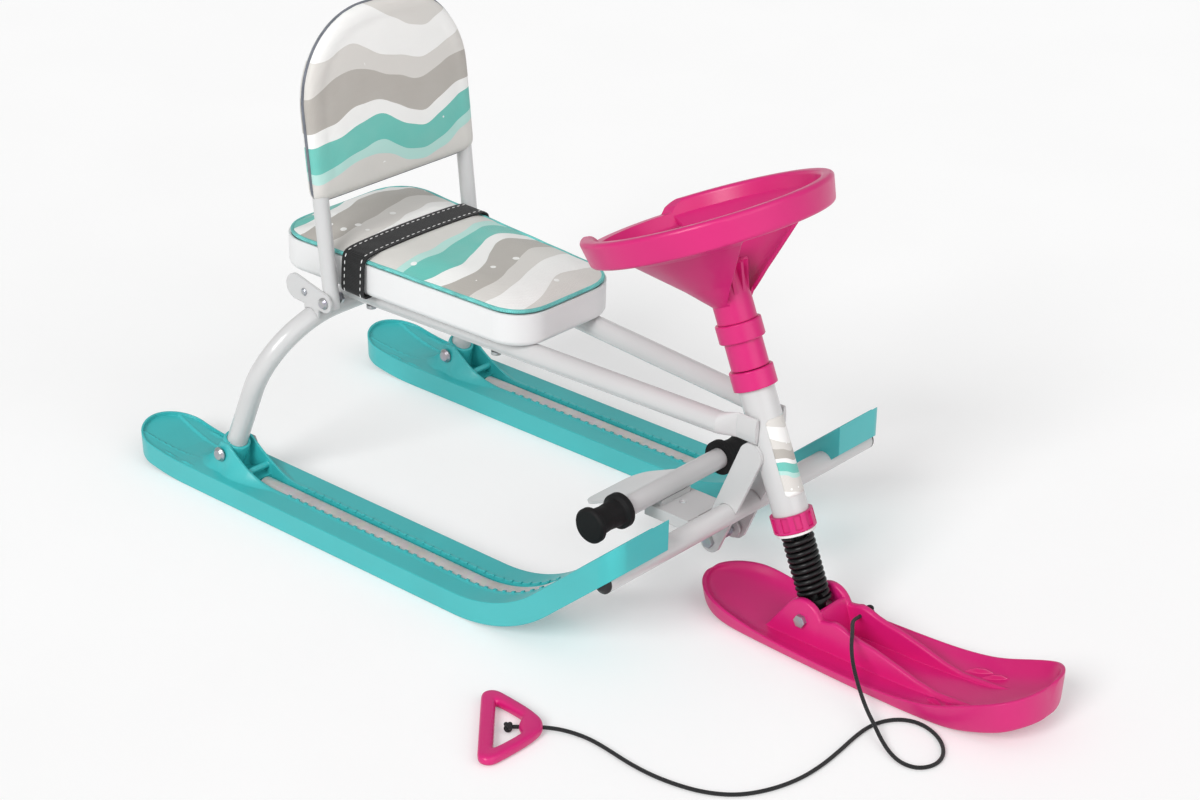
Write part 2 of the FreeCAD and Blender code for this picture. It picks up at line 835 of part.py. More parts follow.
def tail_floor(recess_low):
    """Ridges across the tail's recessed floor, and the floor's own thickness below it."""
    half = size("ski_width") / 2
    centre = V(tail_x + half, 0, recess_low - size("ski_wall"))
    ridges = []
    width = size("tail_ridge_width")
    step = size("tail_ridge_step")
    height = size("ski_wall") + size("tail_ridge_height")
    for number in (1, 2):
        radius = number * step + width
        disc = Part.makeCylinder(radius, height, centre)
        ridges.append(disc.cut(Part.makeCylinder(radius - width, height, centre)))
    floor = tail_plan(size("tail_rim"), recess_low - size("ski_wall"), recess_low)
    return [behind_boss(floor)] + ridges


def boss_pin():
    """Round cross rib between the boss's two front fins."""
    reach = size("boss_width") / 2
    x = tail_x + size("groove_start") + size("boss_pin_diameter")
    height = size("boss_pin_height")
    return rod(size("boss_pin_diameter") / 2, V(x, -reach, height), V(x, reach, height))


def rear_skis():
    """The two skis, the runner tubes in their grooves, and the bolts through their bosses."""
    runner = runner_shape()
    for side, sign in SIDES.items():
        shaped(f"rear_ski_{side}", rear_ski_shape(sign), Placement(V(0, sign * ski_y, 0), Rotation()))
        shaped(f"runner_{side}", runner, Placement(V(0, sign * ski_y, 0), Rotation()))
    reach = size("boss_width") / 2 + gap
    heads = [Placement(V(bolt_x, sign * ski_y - reach, bolt_z), along(Y_AXIS)) for sign in SIDES.values()]
    length = "Size.boss_width + Size.ski_nut_height + 2 * Size.clearance"
    bolt("ski_bolts", "Size.ski_bolt_diameter", length,
         "Size.ski_bolt_head_diameter", "Size.ski_bolt_head_height", heads, dome=True)
    tails = [Placement(V(bolt_x, sign * ski_y + reach, bolt_z), along(Y_AXIS)) for sign in SIDES.values()]
    nuts("ski_nuts", "Size.ski_nut_width", "Size.ski_nut_height", "Size.ski_bolt_diameter", tails)


def runner_shape():
    """Steel tube that follows the groove up to the cross tube and is shaped to meet it."""
    height = size("groove_floor") + gap + tube_radius
    radius = size("ski_sole_radius") - height
    angle = math.radians(size("ski_rise_angle"))
    bend = tail_x + size("ski_flat_length")
    start = V(tail_x + size("groove_start") + size("boss_pin_diameter"), 0, height)
    turn = V(bend, 0, height)
    middle = V(bend + radius * math.sin(angle / 2), 0, size("ski_sole_radius") - radius * math.cos(angle / 2))
    leave = V(bend + radius * math.sin(angle), 0, size("ski_sole_radius") - radius * math.cos(angle))
    end = leave + V(math.cos(angle), 0, math.sin(angle)) * ((cross_x - leave.x) / math.cos(angle))
    path = Part.Wire([Part.makeLine(start, turn), Part.Arc(turn, middle, leave).toShape(),
                      Part.makeLine(leave, end)])
    tubes = []
    for ring_radius in (tube_radius, tube_radius - size("tube_wall")):
        ring = Part.Wire(Part.makeCircle(ring_radius, start, X_AXIS))
        tubes.append(path.makePipeShell([ring], True, False))
    cross = rod(tube_radius + gap, V(cross_x, -ski_y, cross_z), V(cross_x, ski_y, cross_z))
    return tubes[0].cut(tubes[1]).cut(cross)


# Frame

def frame_tubes():
    """Arch, main tubes, cross tube with its plugs, and head tube."""
    foot = moved(arch_place, 0, 0, -size("arch_foot"))
    arch = u_tube("rear_arch", "Size.tube_diameter", "Size.tube_wall", "Size.track",
                  "(Size.arch_rise + Size.arch_foot)", "Size.arch_bend_radius", foot)
    bolt_hole = "Size.ski_bolt_diameter / 2 + Size.clearance"
    pocket(arch, "arch_bolt_holes", "XZ_Plane",
           lambda sketch: circle(sketch, "0", "Size.arch_foot", bolt_hole))
    for side, sign in SIDES.items():
        main_tube(side, sign)
    across = Rotation(X_AXIS, -90)
    cross_half = worked_out(CROSS_LENGTH) / 2
    cross_place = Placement(V(cross_x, -cross_half, cross_z), across)
    straight_tube("cross_tube", "Size.tube_diameter", "Size.tube_wall", CROSS_LENGTH, cross_place)
    bore = "Size.tube_diameter / 2 - Size.tube_wall - Size.clearance"
    corners = [("0", "Size.plug_depth"), (bore, "Size.plug_depth"), (bore, "0"),
               ("Size.tube_diameter / 2", "0"), ("Size.tube_diameter / 2", "-Size.plug_flange / 2"),
               ("Size.tube_diameter / 3", "-Size.plug_flange"), ("0", "-Size.plug_flange")]
    plugs = []
    for side, sign in SIDES.items():
        place = Placement(V(cross_x, sign * cross_half, cross_z), along(V(0, -sign, 0)))
        plugs.append(turned(f"cross_plug_{side}", corners, place))
    group("cross_tube_plugs", plugs)
    straight_tube("head_tube", "Size.head_diameter", "Size.head_wall", "Size.head_length", steer_place)


def main_tube(side, sign):
    """Tube under the seat: shaped to meet the arch, flattened against the side of the head tube."""
    radius = tube_radius
    rear = V(0, sign * size("main_tube_rear_spread") / 2, -radius)
    front = V(size("main_tube_length"), sign * size("main_tube_front_spread") / 2, -radius)
    flat_y = size("head_diameter") / 2 + gap + size("main_tube_flat_thickness") / 2
    flat = V(front.x + size("main_tube_flare"), sign * flat_y, -radius)
    heading = front - rear
    outer = Part.makeCylinder(radius, heading.Length, rear, heading)
    bore = Part.makeCylinder(radius - size("tube_wall"), heading.Length, rear, heading)
    ring = Part.Circle(front, heading, radius)
    ring.XAxis = Z_AXIS
    round_end = Part.Wire(ring.toShape())
    half_height = size("main_tube_flat_height") / 2
    half_width = size("main_tube_flat_thickness") / 2
    flat_top = flat + V(0, 0, half_height)
    flat_side = flat + V(0, half_width, 0)
    flat_end = Part.Wire(Part.Ellipse(flat_top, flat_side, flat).toShape())
    flare = Part.makeLoft([round_end, flat_end], True)
    blade = Part.Face(flat_end).extrude(V(size("main_tube_flat_length"), 0, 0))
    screws = []
    for name in ("seat_screw_rear", "seat_screw_front"):
        point = screw_point(name, sign)
        screws.append(rod(size("seat_screw_diameter") / 2 + gap, point + V(0, 0, -2 * radius - over),
                          point + V(0, 0, over)))
    shape = fused([outer, flare, blade]).cut(bore)
    shape = placed(shape.cut(Part.makeCompound(screws)), seat_place)
    shaped(f"main_tube_{side}", shape.cut(arch_room()))


def arch_room():
    """Space that the rear arch takes up, with a little room round it."""
    room = u_solid(tube_radius + gap, ski_y, size("arch_rise"), size("arch_bend_radius"))
    return placed(room, arch_place)


def screw_point(name, sign):
    """Point on the seat's own base plane where a screw comes up through a main tube."""
    along_share = size(name) / size("main_tube_length")
    spread = size("main_tube_rear_spread")
    spread += (size("main_tube_front_spread") - spread) * along_share
    return V(size(name), sign * spread / 2, 0)


def struts():
    """Pressed plates beside the head tube, notched for the cross tube, with the brake's ears below."""
    offset = size("head_diameter") / 2 + gap + size("strut_thickness") / 2
    for side, sign in SIDES.items():
        body = new_body(f"strut_{side}", Placement(V(ear.x, sign * offset, ear.z), Rotation()))
        pad(body, f"strut_{side}_plate", "XZ_Plane",
            lambda sketch: link(sketch, ("0", "0", "Size.ear_radius"),
                                ("Size.strut_run", "Size.strut_rise", "Size.strut_top_radius")),
            "Size.strut_thickness")
        pocket(body, f"strut_{side}_holes", "XZ_Plane", strut_holes)


def strut_holes(sketch):
    """Holes for the cross tube and for the brake's pivot bolt."""
    circle(sketch, "Size.ear_behind_cross", "Size.ear_below_cross", "Size.tube_diameter / 2 + Size.clearance")
    circle(sketch, "0", "0", "Size.brake_bolt_diameter / 2 + Size.clearance")


# Seat

def seat_outline(sketch, inset):
    """Plan of the seat with round corners, wider at the back, drawn in all round by an inset."""
    rear = f"{inset} - Size.seat_rear_length"
    front = f"Size.seat_length - Size.seat_rear_length - {inset}"
    rear_half = f"(Size.seat_rear_width / 2 - {inset})"
    front_half = f"(Size.seat_front_width / 2 - {inset})"
    corners = [(rear, f"-{rear_half}"), (front, f"-{front_half}"), (front, front_half), (rear, rear_half)]
    rounded_polygon(sketch, corners, f"Size.seat_corner_radius - {inset}")


def seat_pan():
    """Moulded tray with round corners and a round lower edge, open at the top under the cushion."""
    base = moved(seat_place, 0, 0, gap + size("pan_height") / 2)
    body = new_body("seat_pan", base)
    pad(body, "pan_block", "XY_Plane", lambda sketch: seat_outline(sketch, "0"), "Size.pan_height")
    low = -size("pan_height") / 2
    fillet(body, "pan_lower_edge", "Size.pan_bottom_radius",
           lambda edge: abs(edge.BoundBox.ZMax - low) < gap)
    sketch = new_sketch(body, "pan_inside_outline", "XY_Plane")
    sketch.AttachmentOffset = Placement(V(0, 0, low + size("pan_floor")), Rotation())
    seat_outline(sketch, "Size.pan_wall")
    inside = body.newObject("PartDesign::Pocket", "pan_inside")
    inside.Profile = sketch
    inside.Type = "ThroughAll"
    inside.Reversed = True
    before = body.Shape.Volume
    doc.recompute()
    if not body.Shape.Volume < before:
        raise ValueError("the tray is not hollow")
    pocket(body, "pan_screw_holes", "XY_Plane", pan_holes)


def pan_holes(sketch):
    """Four holes for the screws that come up through the main tubes."""
    for name in ("seat_screw_rear", "seat_screw_front"):
        share = f"Size.{name} / Size.main_tube_length"
        spread = (f"(Size.main_tube_rear_spread + (Size.main_tube_front_spread"
                  f" - Size.main_tube_rear_spread) * {share}) / 2")
        for sign in ("", "-"):
            circle(sketch, f"Size.{name}", f"{sign}{spread}", "Size.seat_screw_diameter / 2 + Size.clearance")


def rounded_seat(inset, height):
    """Wire of the seat's plan with round corners, drawn in by an inset, at a height."""
    rear = inset - size("seat_rear_length")
    front = size("seat_length") - size("seat_rear_length") - inset
    rear_half = size("seat_rear_width") / 2 - inset
    front_half = size("seat_front_width") / 2 - inset
    corners = [V(rear, -rear_half, height), V(front, -front_half, height),
               V(front, front_half, height), V(rear, rear_half, height)]
    corner_share = 0.9
    radius = min(size("seat_corner_radius"), front_half * corner_share)
    return rounded_wire(corners, [radius] * 4)


def rounded_wire(corners, radii):
    """Closed wire through corners, each rounded by a tangent arc of its own radius."""
    count = len(corners)
    arcs = []
    for index, corner in enumerate(corners):
        points = corner_arc(corners[index - 1], corner, corners[(index + 1) % count], radii[index])
        arcs.append(Part.Arc(*points))
    edges = []
    for index, arc in enumerate(arcs):
        edges.append(arc.toShape())
        edges.append(Part.makeLine(arc.EndPoint, arcs[(index + 1) % count].StartPoint))
    return Part.Wire(edges)


def seat_cushion():
    """Padded top: sides drawn in at the seam, crowned towards the middle."""
    base = size("pan_height") + 2 * gap
    thick = size("cushion_thickness")
    edge = size("cushion_edge")
    crown = size("cushion_crown")
    inset_shares = (0.3, 0.05, 0, 0.15, 0.5, 1, 1.8, 3.2, 5.4)
    side_shares = (0, 0.25, 0.5, 0.75, 0.92, 1, 1, 1, 1)
    crown_shares = (0, 0, 0, 0, 0, 0, 0.36, 0.72, 1)
    wires = []
    for inset, side, rise in zip(inset_shares, side_shares, crown_shares):
        wires.append(rounded_seat(inset * edge, base + side * thick + rise * crown))
    shaped("seat_cushion", Part.makeLoft(wires, True, True), seat_place)


def seat_fixings():
    """Screws up through the main tubes into nuts in the tray."""
    heads = []
    tops = []
    for name in ("seat_screw_rear", "seat_screw_front"):
        for sign in SIDES.values():
            point = screw_point(name, sign)
            heads.append(moved(seat_place, point.x, point.y, -2 * tube_radius - gap))
            tops.append(moved(seat_place, point.x, point.y, 2 * gap + size("pan_floor")))
    length = "Size.tube_diameter + Size.pan_floor + Size.seat_nut_height + 3 * Size.clearance"
    bolt("seat_screws", "Size.seat_screw_diameter", length, "Size.seat_screw_head_diameter",
         "Size.seat_screw_head_height", heads)
    nuts("seat_nuts", "Size.seat_nut_width", "Size.seat_nut_height", "Size.seat_screw_diameter", tops)


def seat_strap():
    """Webbing strap over the cushion, down both sides of the tray and tucked in under it."""
    rear = size("strap_forward") - size("strap_width") / 2
    share = (rear + size("seat_rear_length")) / size("seat_length")
    widest = size("seat_rear_width") + (size("seat_front_width") - size("seat_rear_width")) * share
    half = widest / 2 + gap
    top = size("pan_height") + size("cushion_thickness") + size("cushion_crown") + 3 * gap
    foot = half + size("strap_flare")
    tuck = half - size("strap_tuck")
    thick = size("strap_thickness")
    loops = []
    for out in (0, thick):
        sides = [V(0, foot + out, -out), V(0, half + out, top + out)]
        others = [V(0, -point.y, point.z) for point in reversed(sides)]
        corners = [V(0, tuck, -out)] + sides + others + [V(0, -tuck, -out)]
        radii = [size("strap_tuck_radius") + out, size("strap_corner_radius") + out]
        loops.append(rounded_run(corners, radii + radii[::-1]))
    ends = [Part.makeLine(loops[0].Vertexes[end].Point, loops[1].Vertexes[end].Point) for end in (0, -1)]
    face = Part.Face(Part.Wire(Part.__sortEdges__(loops[0].Edges + loops[1].Edges + ends)))
    face.translate(V(rear, 0, 0))
    shaped("seat_strap", face.extrude(V(size("strap_width"), 0, 0)), seat_place)


def rounded_run(corners, radii):
    """Open wire through corners, with each inner corner rounded by its own radius."""
    edges = []
    last = corners[0]
    for index in range(1, len(corners) - 1):
        bend = radii[index - 1]
        start, middle, end = corner_arc(corners[index - 1], corners[index], corners[index + 1], bend)
        edges.append(Part.makeLine(last, start))
        edges.append(Part.Arc(start, middle, end).toShape())
        last = end
    edges.append(Part.makeLine(last, corners[-1]))
    return Part.Wire(edges)


# Backrest

def backrest():
    """Folding backrest: bent tube, padded cover, hinge plates on the arch, bolts, nuts and rivets."""
    tube = u_tube("backrest_tube", "Size.backrest_tube_diameter", "Size.backrest_tube_wall",
                  "Size.backrest_leg_width", "(Size.backrest_tube_height + Size.backrest_foot_length)",
                  "Size.backrest_bend_radius", moved(back_place, 0, 0, -size("backrest_foot_length")))
    pocket(tube, "backrest_hinge_holes", "XZ_Plane",
           lambda sketch: circle(sketch, "0", "Size.backrest_foot_length",
                                 "Size.hinge_bolt_diameter / 2 + Size.running_clearance"))
    block = Part.makeLoft([pad_wire(inset, depth) for inset, depth in pad_sections()], True, True)
    inside = u_solid(leg_radius + gap, leg_y, size("backrest_tube_height"), size("backrest_bend_radius"))
    shaped("backrest_pad", block.cut(inside), back_place)
    hinge_plates()


def pad_sections():
    """Insets and places through the pad's thickness, from its back to its front."""
    half = size("pad_thickness") / 2
    edge = size("pad_edge")
    crown = size("pad_crown_inset")
    edge_shares = (0, 0.12, 0.4, 1)
    insets = [share * edge for share in edge_shares] + [(edge + crown) / 2, crown]
    depth_shares = (0.25, 0.5, 0.72, 0.87, 0.95, 1)
    front = list(zip(insets, depth_shares))
    back = [(inset, -share) for inset, share in reversed(front)]
    return [(inset, share * half) for inset, share in back + front]


def pad_wire(inset, depth):
    """Arch-topped outline of the pad in the backrest's own frame."""
    low = size("pad_bottom_above_hinge") + inset
    high = size("pad_bottom_above_hinge") + size("pad_height") - inset
    half = size("pad_width") / 2 - inset
    corners = [V(depth, -half, low), V(depth, half, low), V(depth, half, high), V(depth, -half, high)]
    inset_share = 0.6
    shoulder = size("pad_shoulder_radius") - inset * inset_share
    return rounded_wire(corners, [size("pad_bottom_radius")] * 2 + [shoulder] * 2)


def u_solid(radius, half_spacing, top, bend):
    """Solid inverted U along the line of a bent tube, from its feet on the XY plane."""
    corners = [V(0, -half_spacing, 0), V(0, -half_spacing, top),
               V(0, half_spacing, top), V(0, half_spacing, 0)]
    path = rounded_run(corners, [bend, bend])
    ring = Part.Wire(Part.makeCircle(radius, corners[0], Z_AXIS))
    return path.makePipeShell([ring], True, False)


def hinge_plates():
    """Plates welded on the arch outside the backrest's legs."""
    plate_y = leg_y + leg_radius + gap + size("hinge_plate_thickness") / 2
    heads = []
    ends = []
    rivets = []
    room = shaped("arch_room", arch_room())
    for side, sign in SIDES.items():
        body = new_body(f"hinge_blank_{side}", Placement(V(hinge.x, sign * plate_y, hinge.z), Rotation()))
        pad(body, f"hinge_plate_{side}_blank", "XZ_Plane",
            lambda sketch: link(sketch, ("0", "0", "Size.hinge_plate_lobe_radius"),
                                ("-Size.hinge_plate_length", "Size.hinge_plate_rise",
                                 "Size.hinge_plate_rear_radius")),
            "Size.hinge_plate_thickness")
        pad(body, f"hinge_plate_{side}_foot", "XZ_Plane", plate_foot, "Size.hinge_plate_thickness")
        pocket(body, f"hinge_plate_{side}_holes", "XZ_Plane", plate_holes)
        cut(f"hinge_plate_{side}", body, room)
        outward = V(0, sign, 0)
        face_y = sign * (plate_y + size("hinge_plate_thickness") / 2 + gap)
        heads.append(Placement(V(hinge.x, face_y, hinge.z), along(-outward)))
        inner_y = sign * (leg_y - leg_radius - gap)
        ends.append(Placement(V(hinge.x, inner_y, hinge.z), along(-outward)))
        rivet_rise = size("hinge_plate_rise") * size("rivet_from_bolt") / size("hinge_plate_length")
        rivet = V(hinge.x - size("rivet_from_bolt"), face_y, hinge.z + rivet_rise)
        rivets.append(Placement(rivet, along(-outward)))
    length = ("Size.hinge_plate_thickness + Size.backrest_tube_diameter + Size.hinge_nut_height"
              " + 3 * Size.clearance")
    bolt("hinge_bolts", "Size.hinge_bolt_diameter", length, "Size.hinge_bolt_head_diameter",
         "Size.hinge_bolt_head_height", heads, dome=True)
    nuts("hinge_nuts", "Size.hinge_nut_width", "Size.hinge_nut_height", "Size.hinge_bolt_diameter", ends)
    bolt("plate_rivets", "Size.rivet_diameter", "Size.hinge_plate_thickness + Size.clearance",
         "Size.rivet_head_diameter", "Size.rivet_head_height", rivets, dome=True)


def plate_foot(sketch):
    """Foot of a hinge plate, which comes down on the arch."""
    rear = "(-Size.hinge_forward - Size.hinge_plate_foot_width / 2)"
    front = "(Size.hinge_plate_foot_width / 2 - Size.hinge_forward)"
    low = "-Size.hinge_plate_foot_drop"
    polygon(sketch, [(rear, "0"), (rear, low), (front, low), (front, "0")])


def plate_holes(sketch):
    """Holes of a hinge plate for its bolt and its rivet."""
    circle(sketch, "0", "0", "Size.hinge_bolt_diameter / 2 + Size.clearance")
    rise = "Size.hinge_plate_rise * Size.rivet_from_bolt / Size.hinge_plate_length"
    circle(sketch, "-Size.rivet_from_bolt", rise, "Size.rivet_diameter / 2 + Size.clearance")


# Steering

def steering():
    """Bushes in the head tube, thrust washer, column, sleeve, wheel and spring seat."""
    inside = "Size.head_diameter / 2 - Size.head_wall"
    bore = "Size.column_diameter / 2 + Size.running_clearance"
    lap = "Size.head_length - Size.collar_lap"
    top = "Size.head_length + Size.upper_collar - Size.collar_lap"
    wide = "Size.upper_collar_diameter / 2"
    turned("upper_bush", [
        (bore, "Size.head_length - Size.collar_skirt"), (inside, "Size.head_length - Size.collar_skirt"),
        (inside, "Size.head_length + Size.clearance"),
        ("Size.head_diameter / 2 + Size.clearance", "Size.head_length + Size.clearance"),
        ("Size.head_diameter / 2 + Size.clearance", lap), (wide, lap),
        (wide, f"{top} - Size.collar_lap"), (f"{wide} - Size.collar_lap", top), (bore, top)], steer_place)
    wide = "Size.lower_collar_diameter / 2"
    low = "-Size.lower_collar"
    lower = new_body("lower_bush", steer_place)
    revolve(lower, "lower_bush_turning", [
        (bore, low), (f"{wide} - Size.collar_lap", low), (wide, f"{low} + Size.collar_lap"),
        (wide, "Size.collar_lap"), ("Size.head_diameter / 2 + Size.clearance", "Size.collar_lap"),
        ("Size.head_diameter / 2 + Size.clearance", "-Size.clearance"), (inside, "-Size.clearance"),
        (inside, "Size.collar_skirt"), (bore, "Size.collar_skirt")])
    collar_notches(lower)
    washer_top = "(-Size.lower_collar - Size.clearance)"
    washer_low = f"({washer_top} - Size.thrust_washer)"
    turned("thrust_washer", [
        (bore, washer_low), ("Size.thrust_washer_diameter / 2", washer_low),
        ("Size.thrust_washer_diameter / 2", washer_top), (bore, washer_top)], steer_place)
    column()
    seat_top = f"({spring_low()} - Size.clearance)"
    turned("spring_seat", [
        ("Size.column_diameter / 2 + Size.clearance", f"{seat_top} - Size.spring_seat"),
        ("Size.spring_seat_diameter / 2", f"{seat_top} - Size.spring_seat"),
        ("Size.spring_seat_diameter / 2", seat_top),
        ("Size.column_diameter / 2 + Size.clearance", seat_top)], steer_place)
    sleeve()


def spring_low():
    """Expression for the height of the spring's lower end, measured from the head tube's lower end."""
    length = "(Size.spring_turns * Size.spring_pitch + Size.spring_wire)"
    return f"(-Size.lower_collar - Size.thrust_washer - 2 * Size.clearance - {length})"


def collar_notches(body):
    """Grip notches round the lower collar."""
    sketch = new_sketch(body, "collar_notch_outline", "XY_Plane")
    inner = "(Size.lower_collar_diameter / 2 - Size.lower_collar_notch_depth)"
    outer = "Size.lower_collar_diameter"
    half = "Size.lower_collar_notch / 2"
    polygon(sketch, [(inner, f"-{half}"), (outer, f"-{half}"), (outer, half), (inner, half)])
    notch = body.newObject("PartDesign::Pocket", "collar_notch")
    notch.Profile = sketch
    notch.setExpression("Length", "Size.lower_collar - 3 * Size.collar_lap")
    before = body.Shape.Volume
    doc.recompute()
    if not body.Shape.Volume < before:
        raise ValueError("the collar has no notch")
    pattern = body.newObject("PartDesign::PolarPattern", "collar_notches")
    pattern.Originals = [notch]
    pattern.Axis = (sketch, ["N_Axis"])
    pattern.setExpression("Occurrences", "Size.lower_collar_notches")
    body.Tip = pattern
    doc.recompute()


def column():
    """Steering column: tube from the ski's pivot to the wheel, with a shoulder under the spring's seat."""
    radius = "Size.column_diameter / 2"
    inner = f"{radius} - Size.column_wall"
    shoulder = f"({spring_low()} - Size.spring_seat - 2 * Size.clearance)"
    end_share = 0.6
    flat_share = 0.7
    low = f"(-Size.pivot_drop - Size.column_diameter * {end_share})"
    top = "(Size.head_length + Size.upper_collar + Size.sleeve_gap + Size.sleeve_length + Size.flange_length"
    top += " + Size.neck_length + Size.hub_top_above_neck / 2)"
    body = new_body("steering_column", steer_place)
    revolve(body, "column_turning", [
        ("0", low), (f"{radius} * {flat_share}", low), (radius, f"{low} + {radius} * (1 - {flat_share})"),
        (radius, f"{shoulder} - Size.column_shoulder"),
        ("Size.column_shoulder_diameter / 2", f"{shoulder} - Size.column_shoulder"),
        ("Size.column_shoulder_diameter / 2", shoulder), (radius, shoulder), (radius, top), (inner, top),
        (inner, shoulder), ("0", shoulder)])
    pocket(body, "column_pivot_hole", "XZ_Plane",
           lambda sketch: circle(sketch, "0", "-Size.pivot_drop",
                                 "Size.front_bolt_diameter / 2 + Size.running_clearance"))


def sleeve():
    """Sleeve with a flange ring, and the moulded wheel whose neck stands in it."""
    bore = "Size.column_diameter / 2 + Size.clearance"
    low = "(Size.head_length + Size.upper_collar - Size.collar_lap + Size.sleeve_gap)"
    mid = f"({low} + Size.sleeve_length)"
    top = f"({mid} + Size.flange_length)"
    wide = "Size.flange_diameter / 2"
    turned("column_sleeve", [
        (bore, low), ("Size.sleeve_diameter / 2", low), ("Size.sleeve_diameter / 2", mid),
        (f"{wide} - Size.collar_lap", mid), (wide, f"{mid} + Size.collar_lap"),
        (wide, f"{top} - Size.collar_lap"), (f"{wide} - Size.collar_lap", top), (bore, top)], steer_place)
    wheel(top)
    wheel_screw(top)


def wheel_screw(neck_low):
    """Screw from behind, through the wheel's neck into the column, and the holes that it runs in."""
    height = f"({neck_low} + Size.clearance + Size.neck_length / 2)"
    hole = "Size.wheel_screw_diameter / 2 + Size.clearance"
    for label in ("steering_wheel", "steering_column"):
        body = doc.getObjectsByLabel(label)[0]
        pocket(body, f"{label}_screw_hole", "YZ_Plane",
               lambda sketch: circle(sketch, "0", height, hole), both_ways=False)
    head = moved(steer_place, -size("neck_diameter") / 2 - gap, 0, worked_out(height), along(X_AXIS))
    bolt("wheel_screw", "Size.wheel_screw_diameter", "Size.neck_diameter / 2 + Size.clearance",
         "Size.wheel_screw_head_diameter", "Size.wheel_screw_head_height", [head], dome=True)


def wheel(neck_low):
    """Steering wheel: banded rim, a dished web with two openings, a neck and ribs round the hub."""
    neck_low = f"({neck_low} + Size.clearance)"
    bore = "Size.column_diameter / 2 + Size.clearance"
    neck = "Size.neck_diameter / 2"
    neck_top = f"({neck_low} + Size.neck_length)"
    hub_top = f"({neck_top} + Size.hub_top_above_neck)"
    rim = "Size.wheel_diameter / 2"
    rim_low = "(Size.wheel_above_head - Size.rim_height / 2)"
    rim_top = "(Size.wheel_above_head + Size.rim_height / 2)"
    body = new_body("steering_wheel", steer_place)
    under = [(bore, f"{neck_top} - Size.web_thickness"),
             (f"{neck} - Size.web_thickness", f"{neck_top} - Size.web_thickness"),
             ("Size.web_low_radius", f"{neck_top} + Size.web_low_rise"),
             ("Size.web_high_radius", f"{rim_low} - Size.web_high_drop"),
             (f"{rim} - Size.rim_width / 2 - Size.rim_taper", f"{rim_low} + Size.web_end_rise")]
    over_it = [(u, f"{v} + Size.web_thickness * {WEB_SLANT_SHARE}") for u, v in reversed(under)]
    revolve(body, "wheel_web", under + over_it)
    pocket(body, "wheel_openings", "XY_Plane", wheel_openings)
    revolve(body, "wheel_rim", [
        (f"{rim} - Size.rim_taper", rim_low), (rim, rim_top), (f"{rim} - Size.rim_width", rim_top),
        (f"{rim} - Size.rim_width - Size.rim_taper", rim_low)], rounding="Size.rim_rounding")
    revolve(body, "wheel_hub", [(bore, neck_low), (neck, neck_low), (neck, neck_top),
                                (f"{neck} - Size.web_thickness", hub_top), ("0", hub_top),
                                ("0", f"{hub_top} - Size.web_thickness"),
                                (bore, f"{hub_top} - Size.web_thickness")])
    hub_ribs(body, neck, neck_top)
    rear_notch(body, rim_top)


def wheel_openings(sketch):
    """Openings ahead of and behind the hub, which widen from the neck out past the rim."""
    near = "Size.opening_neck_length"
    near_half = "Size.opening_neck_width / 2"
    far = "(3 * Size.opening_rim_length - Size.opening_neck_length) / 2"
    far_half = "(3 * Size.opening_rim_width - Size.opening_neck_width) / 4"
    for sign in ("", "-"):
        polygon(sketch, [(f"{sign}{near}", f"-{near_half}"), (f"{sign}{far}", f"-{far_half}"),
                         (f"{sign}{far}", far_half), (f"{sign}{near}", near_half)])


def rear_notch(body, rim_top):
    """Lower stretch of the rim on the rider's side, rounded at its ends."""
    low = "Size.notch_width / 2"
    high = f"({low} + 3 * Size.notch_ramp)"
    floor = f"{rim_top} - Size.notch_depth"
    ends = [(low, floor), (f"{low} + Size.notch_ramp", f"{rim_top} - Size.notch_ramp"),
            (high, f"{rim_top} + Size.clearance"), (high, f"{rim_top} + Size.notch_depth")]
    outline = ends + [(f"-({u})", v) for u, v in reversed(ends)]
    pocket(body, "wheel_rear_notch", "YZ_Plane",
           lambda sketch: rounded_polygon(sketch, outline, "Size.notch_ramp / 2"), both_ways=False)


def hub_ribs(body, neck, neck_top):
    """Upright ribs round the hub above its neck."""
    inside = f"{neck} - Size.web_thickness"
    low = f"{neck_top} - Size.web_thickness"
    high = f"{neck_top} + Size.hub_rib_height"
    corners = [(inside, low), (f"{neck} + Size.hub_rib_depth", high), (inside, high)]
    rib = pad(body, "hub_rib", "XZ_Plane", lambda sketch: polygon(sketch, corners), "Size.hub_rib_thickness")
    pattern = body.newObject("PartDesign::PolarPattern", "hub_ribs")
    pattern.Originals = [rib]
    pattern.Axis = (origin_axis(body, "Z_Axis"), [""])
    pattern.setExpression("Occurrences", "Size.hub_ribs")
    body.Tip = pattern
    doc.recompute()


def origin_axis(body, role):
    """One of a body's own origin axes."""
    return next(item for item in body.Origin.OriginFeatures if item.Role == role)


# Front ski

# Round tail and blunt tip of the front ski, as places along each end and half widths there, each as a
# share of the end's own length and of the half width beside it.
TAIL_SHARES = [(0, 0.18), (0.08, 0.42), (0.22, 0.64), (0.4, 0.81), (0.66, 0.94), (1, 1)]
TIP_SHARES = [(0, 1), (0.34, 0.94), (0.64, 0.81), (0.87, 0.61), (0.97, 0.43), (1, 0.25)]
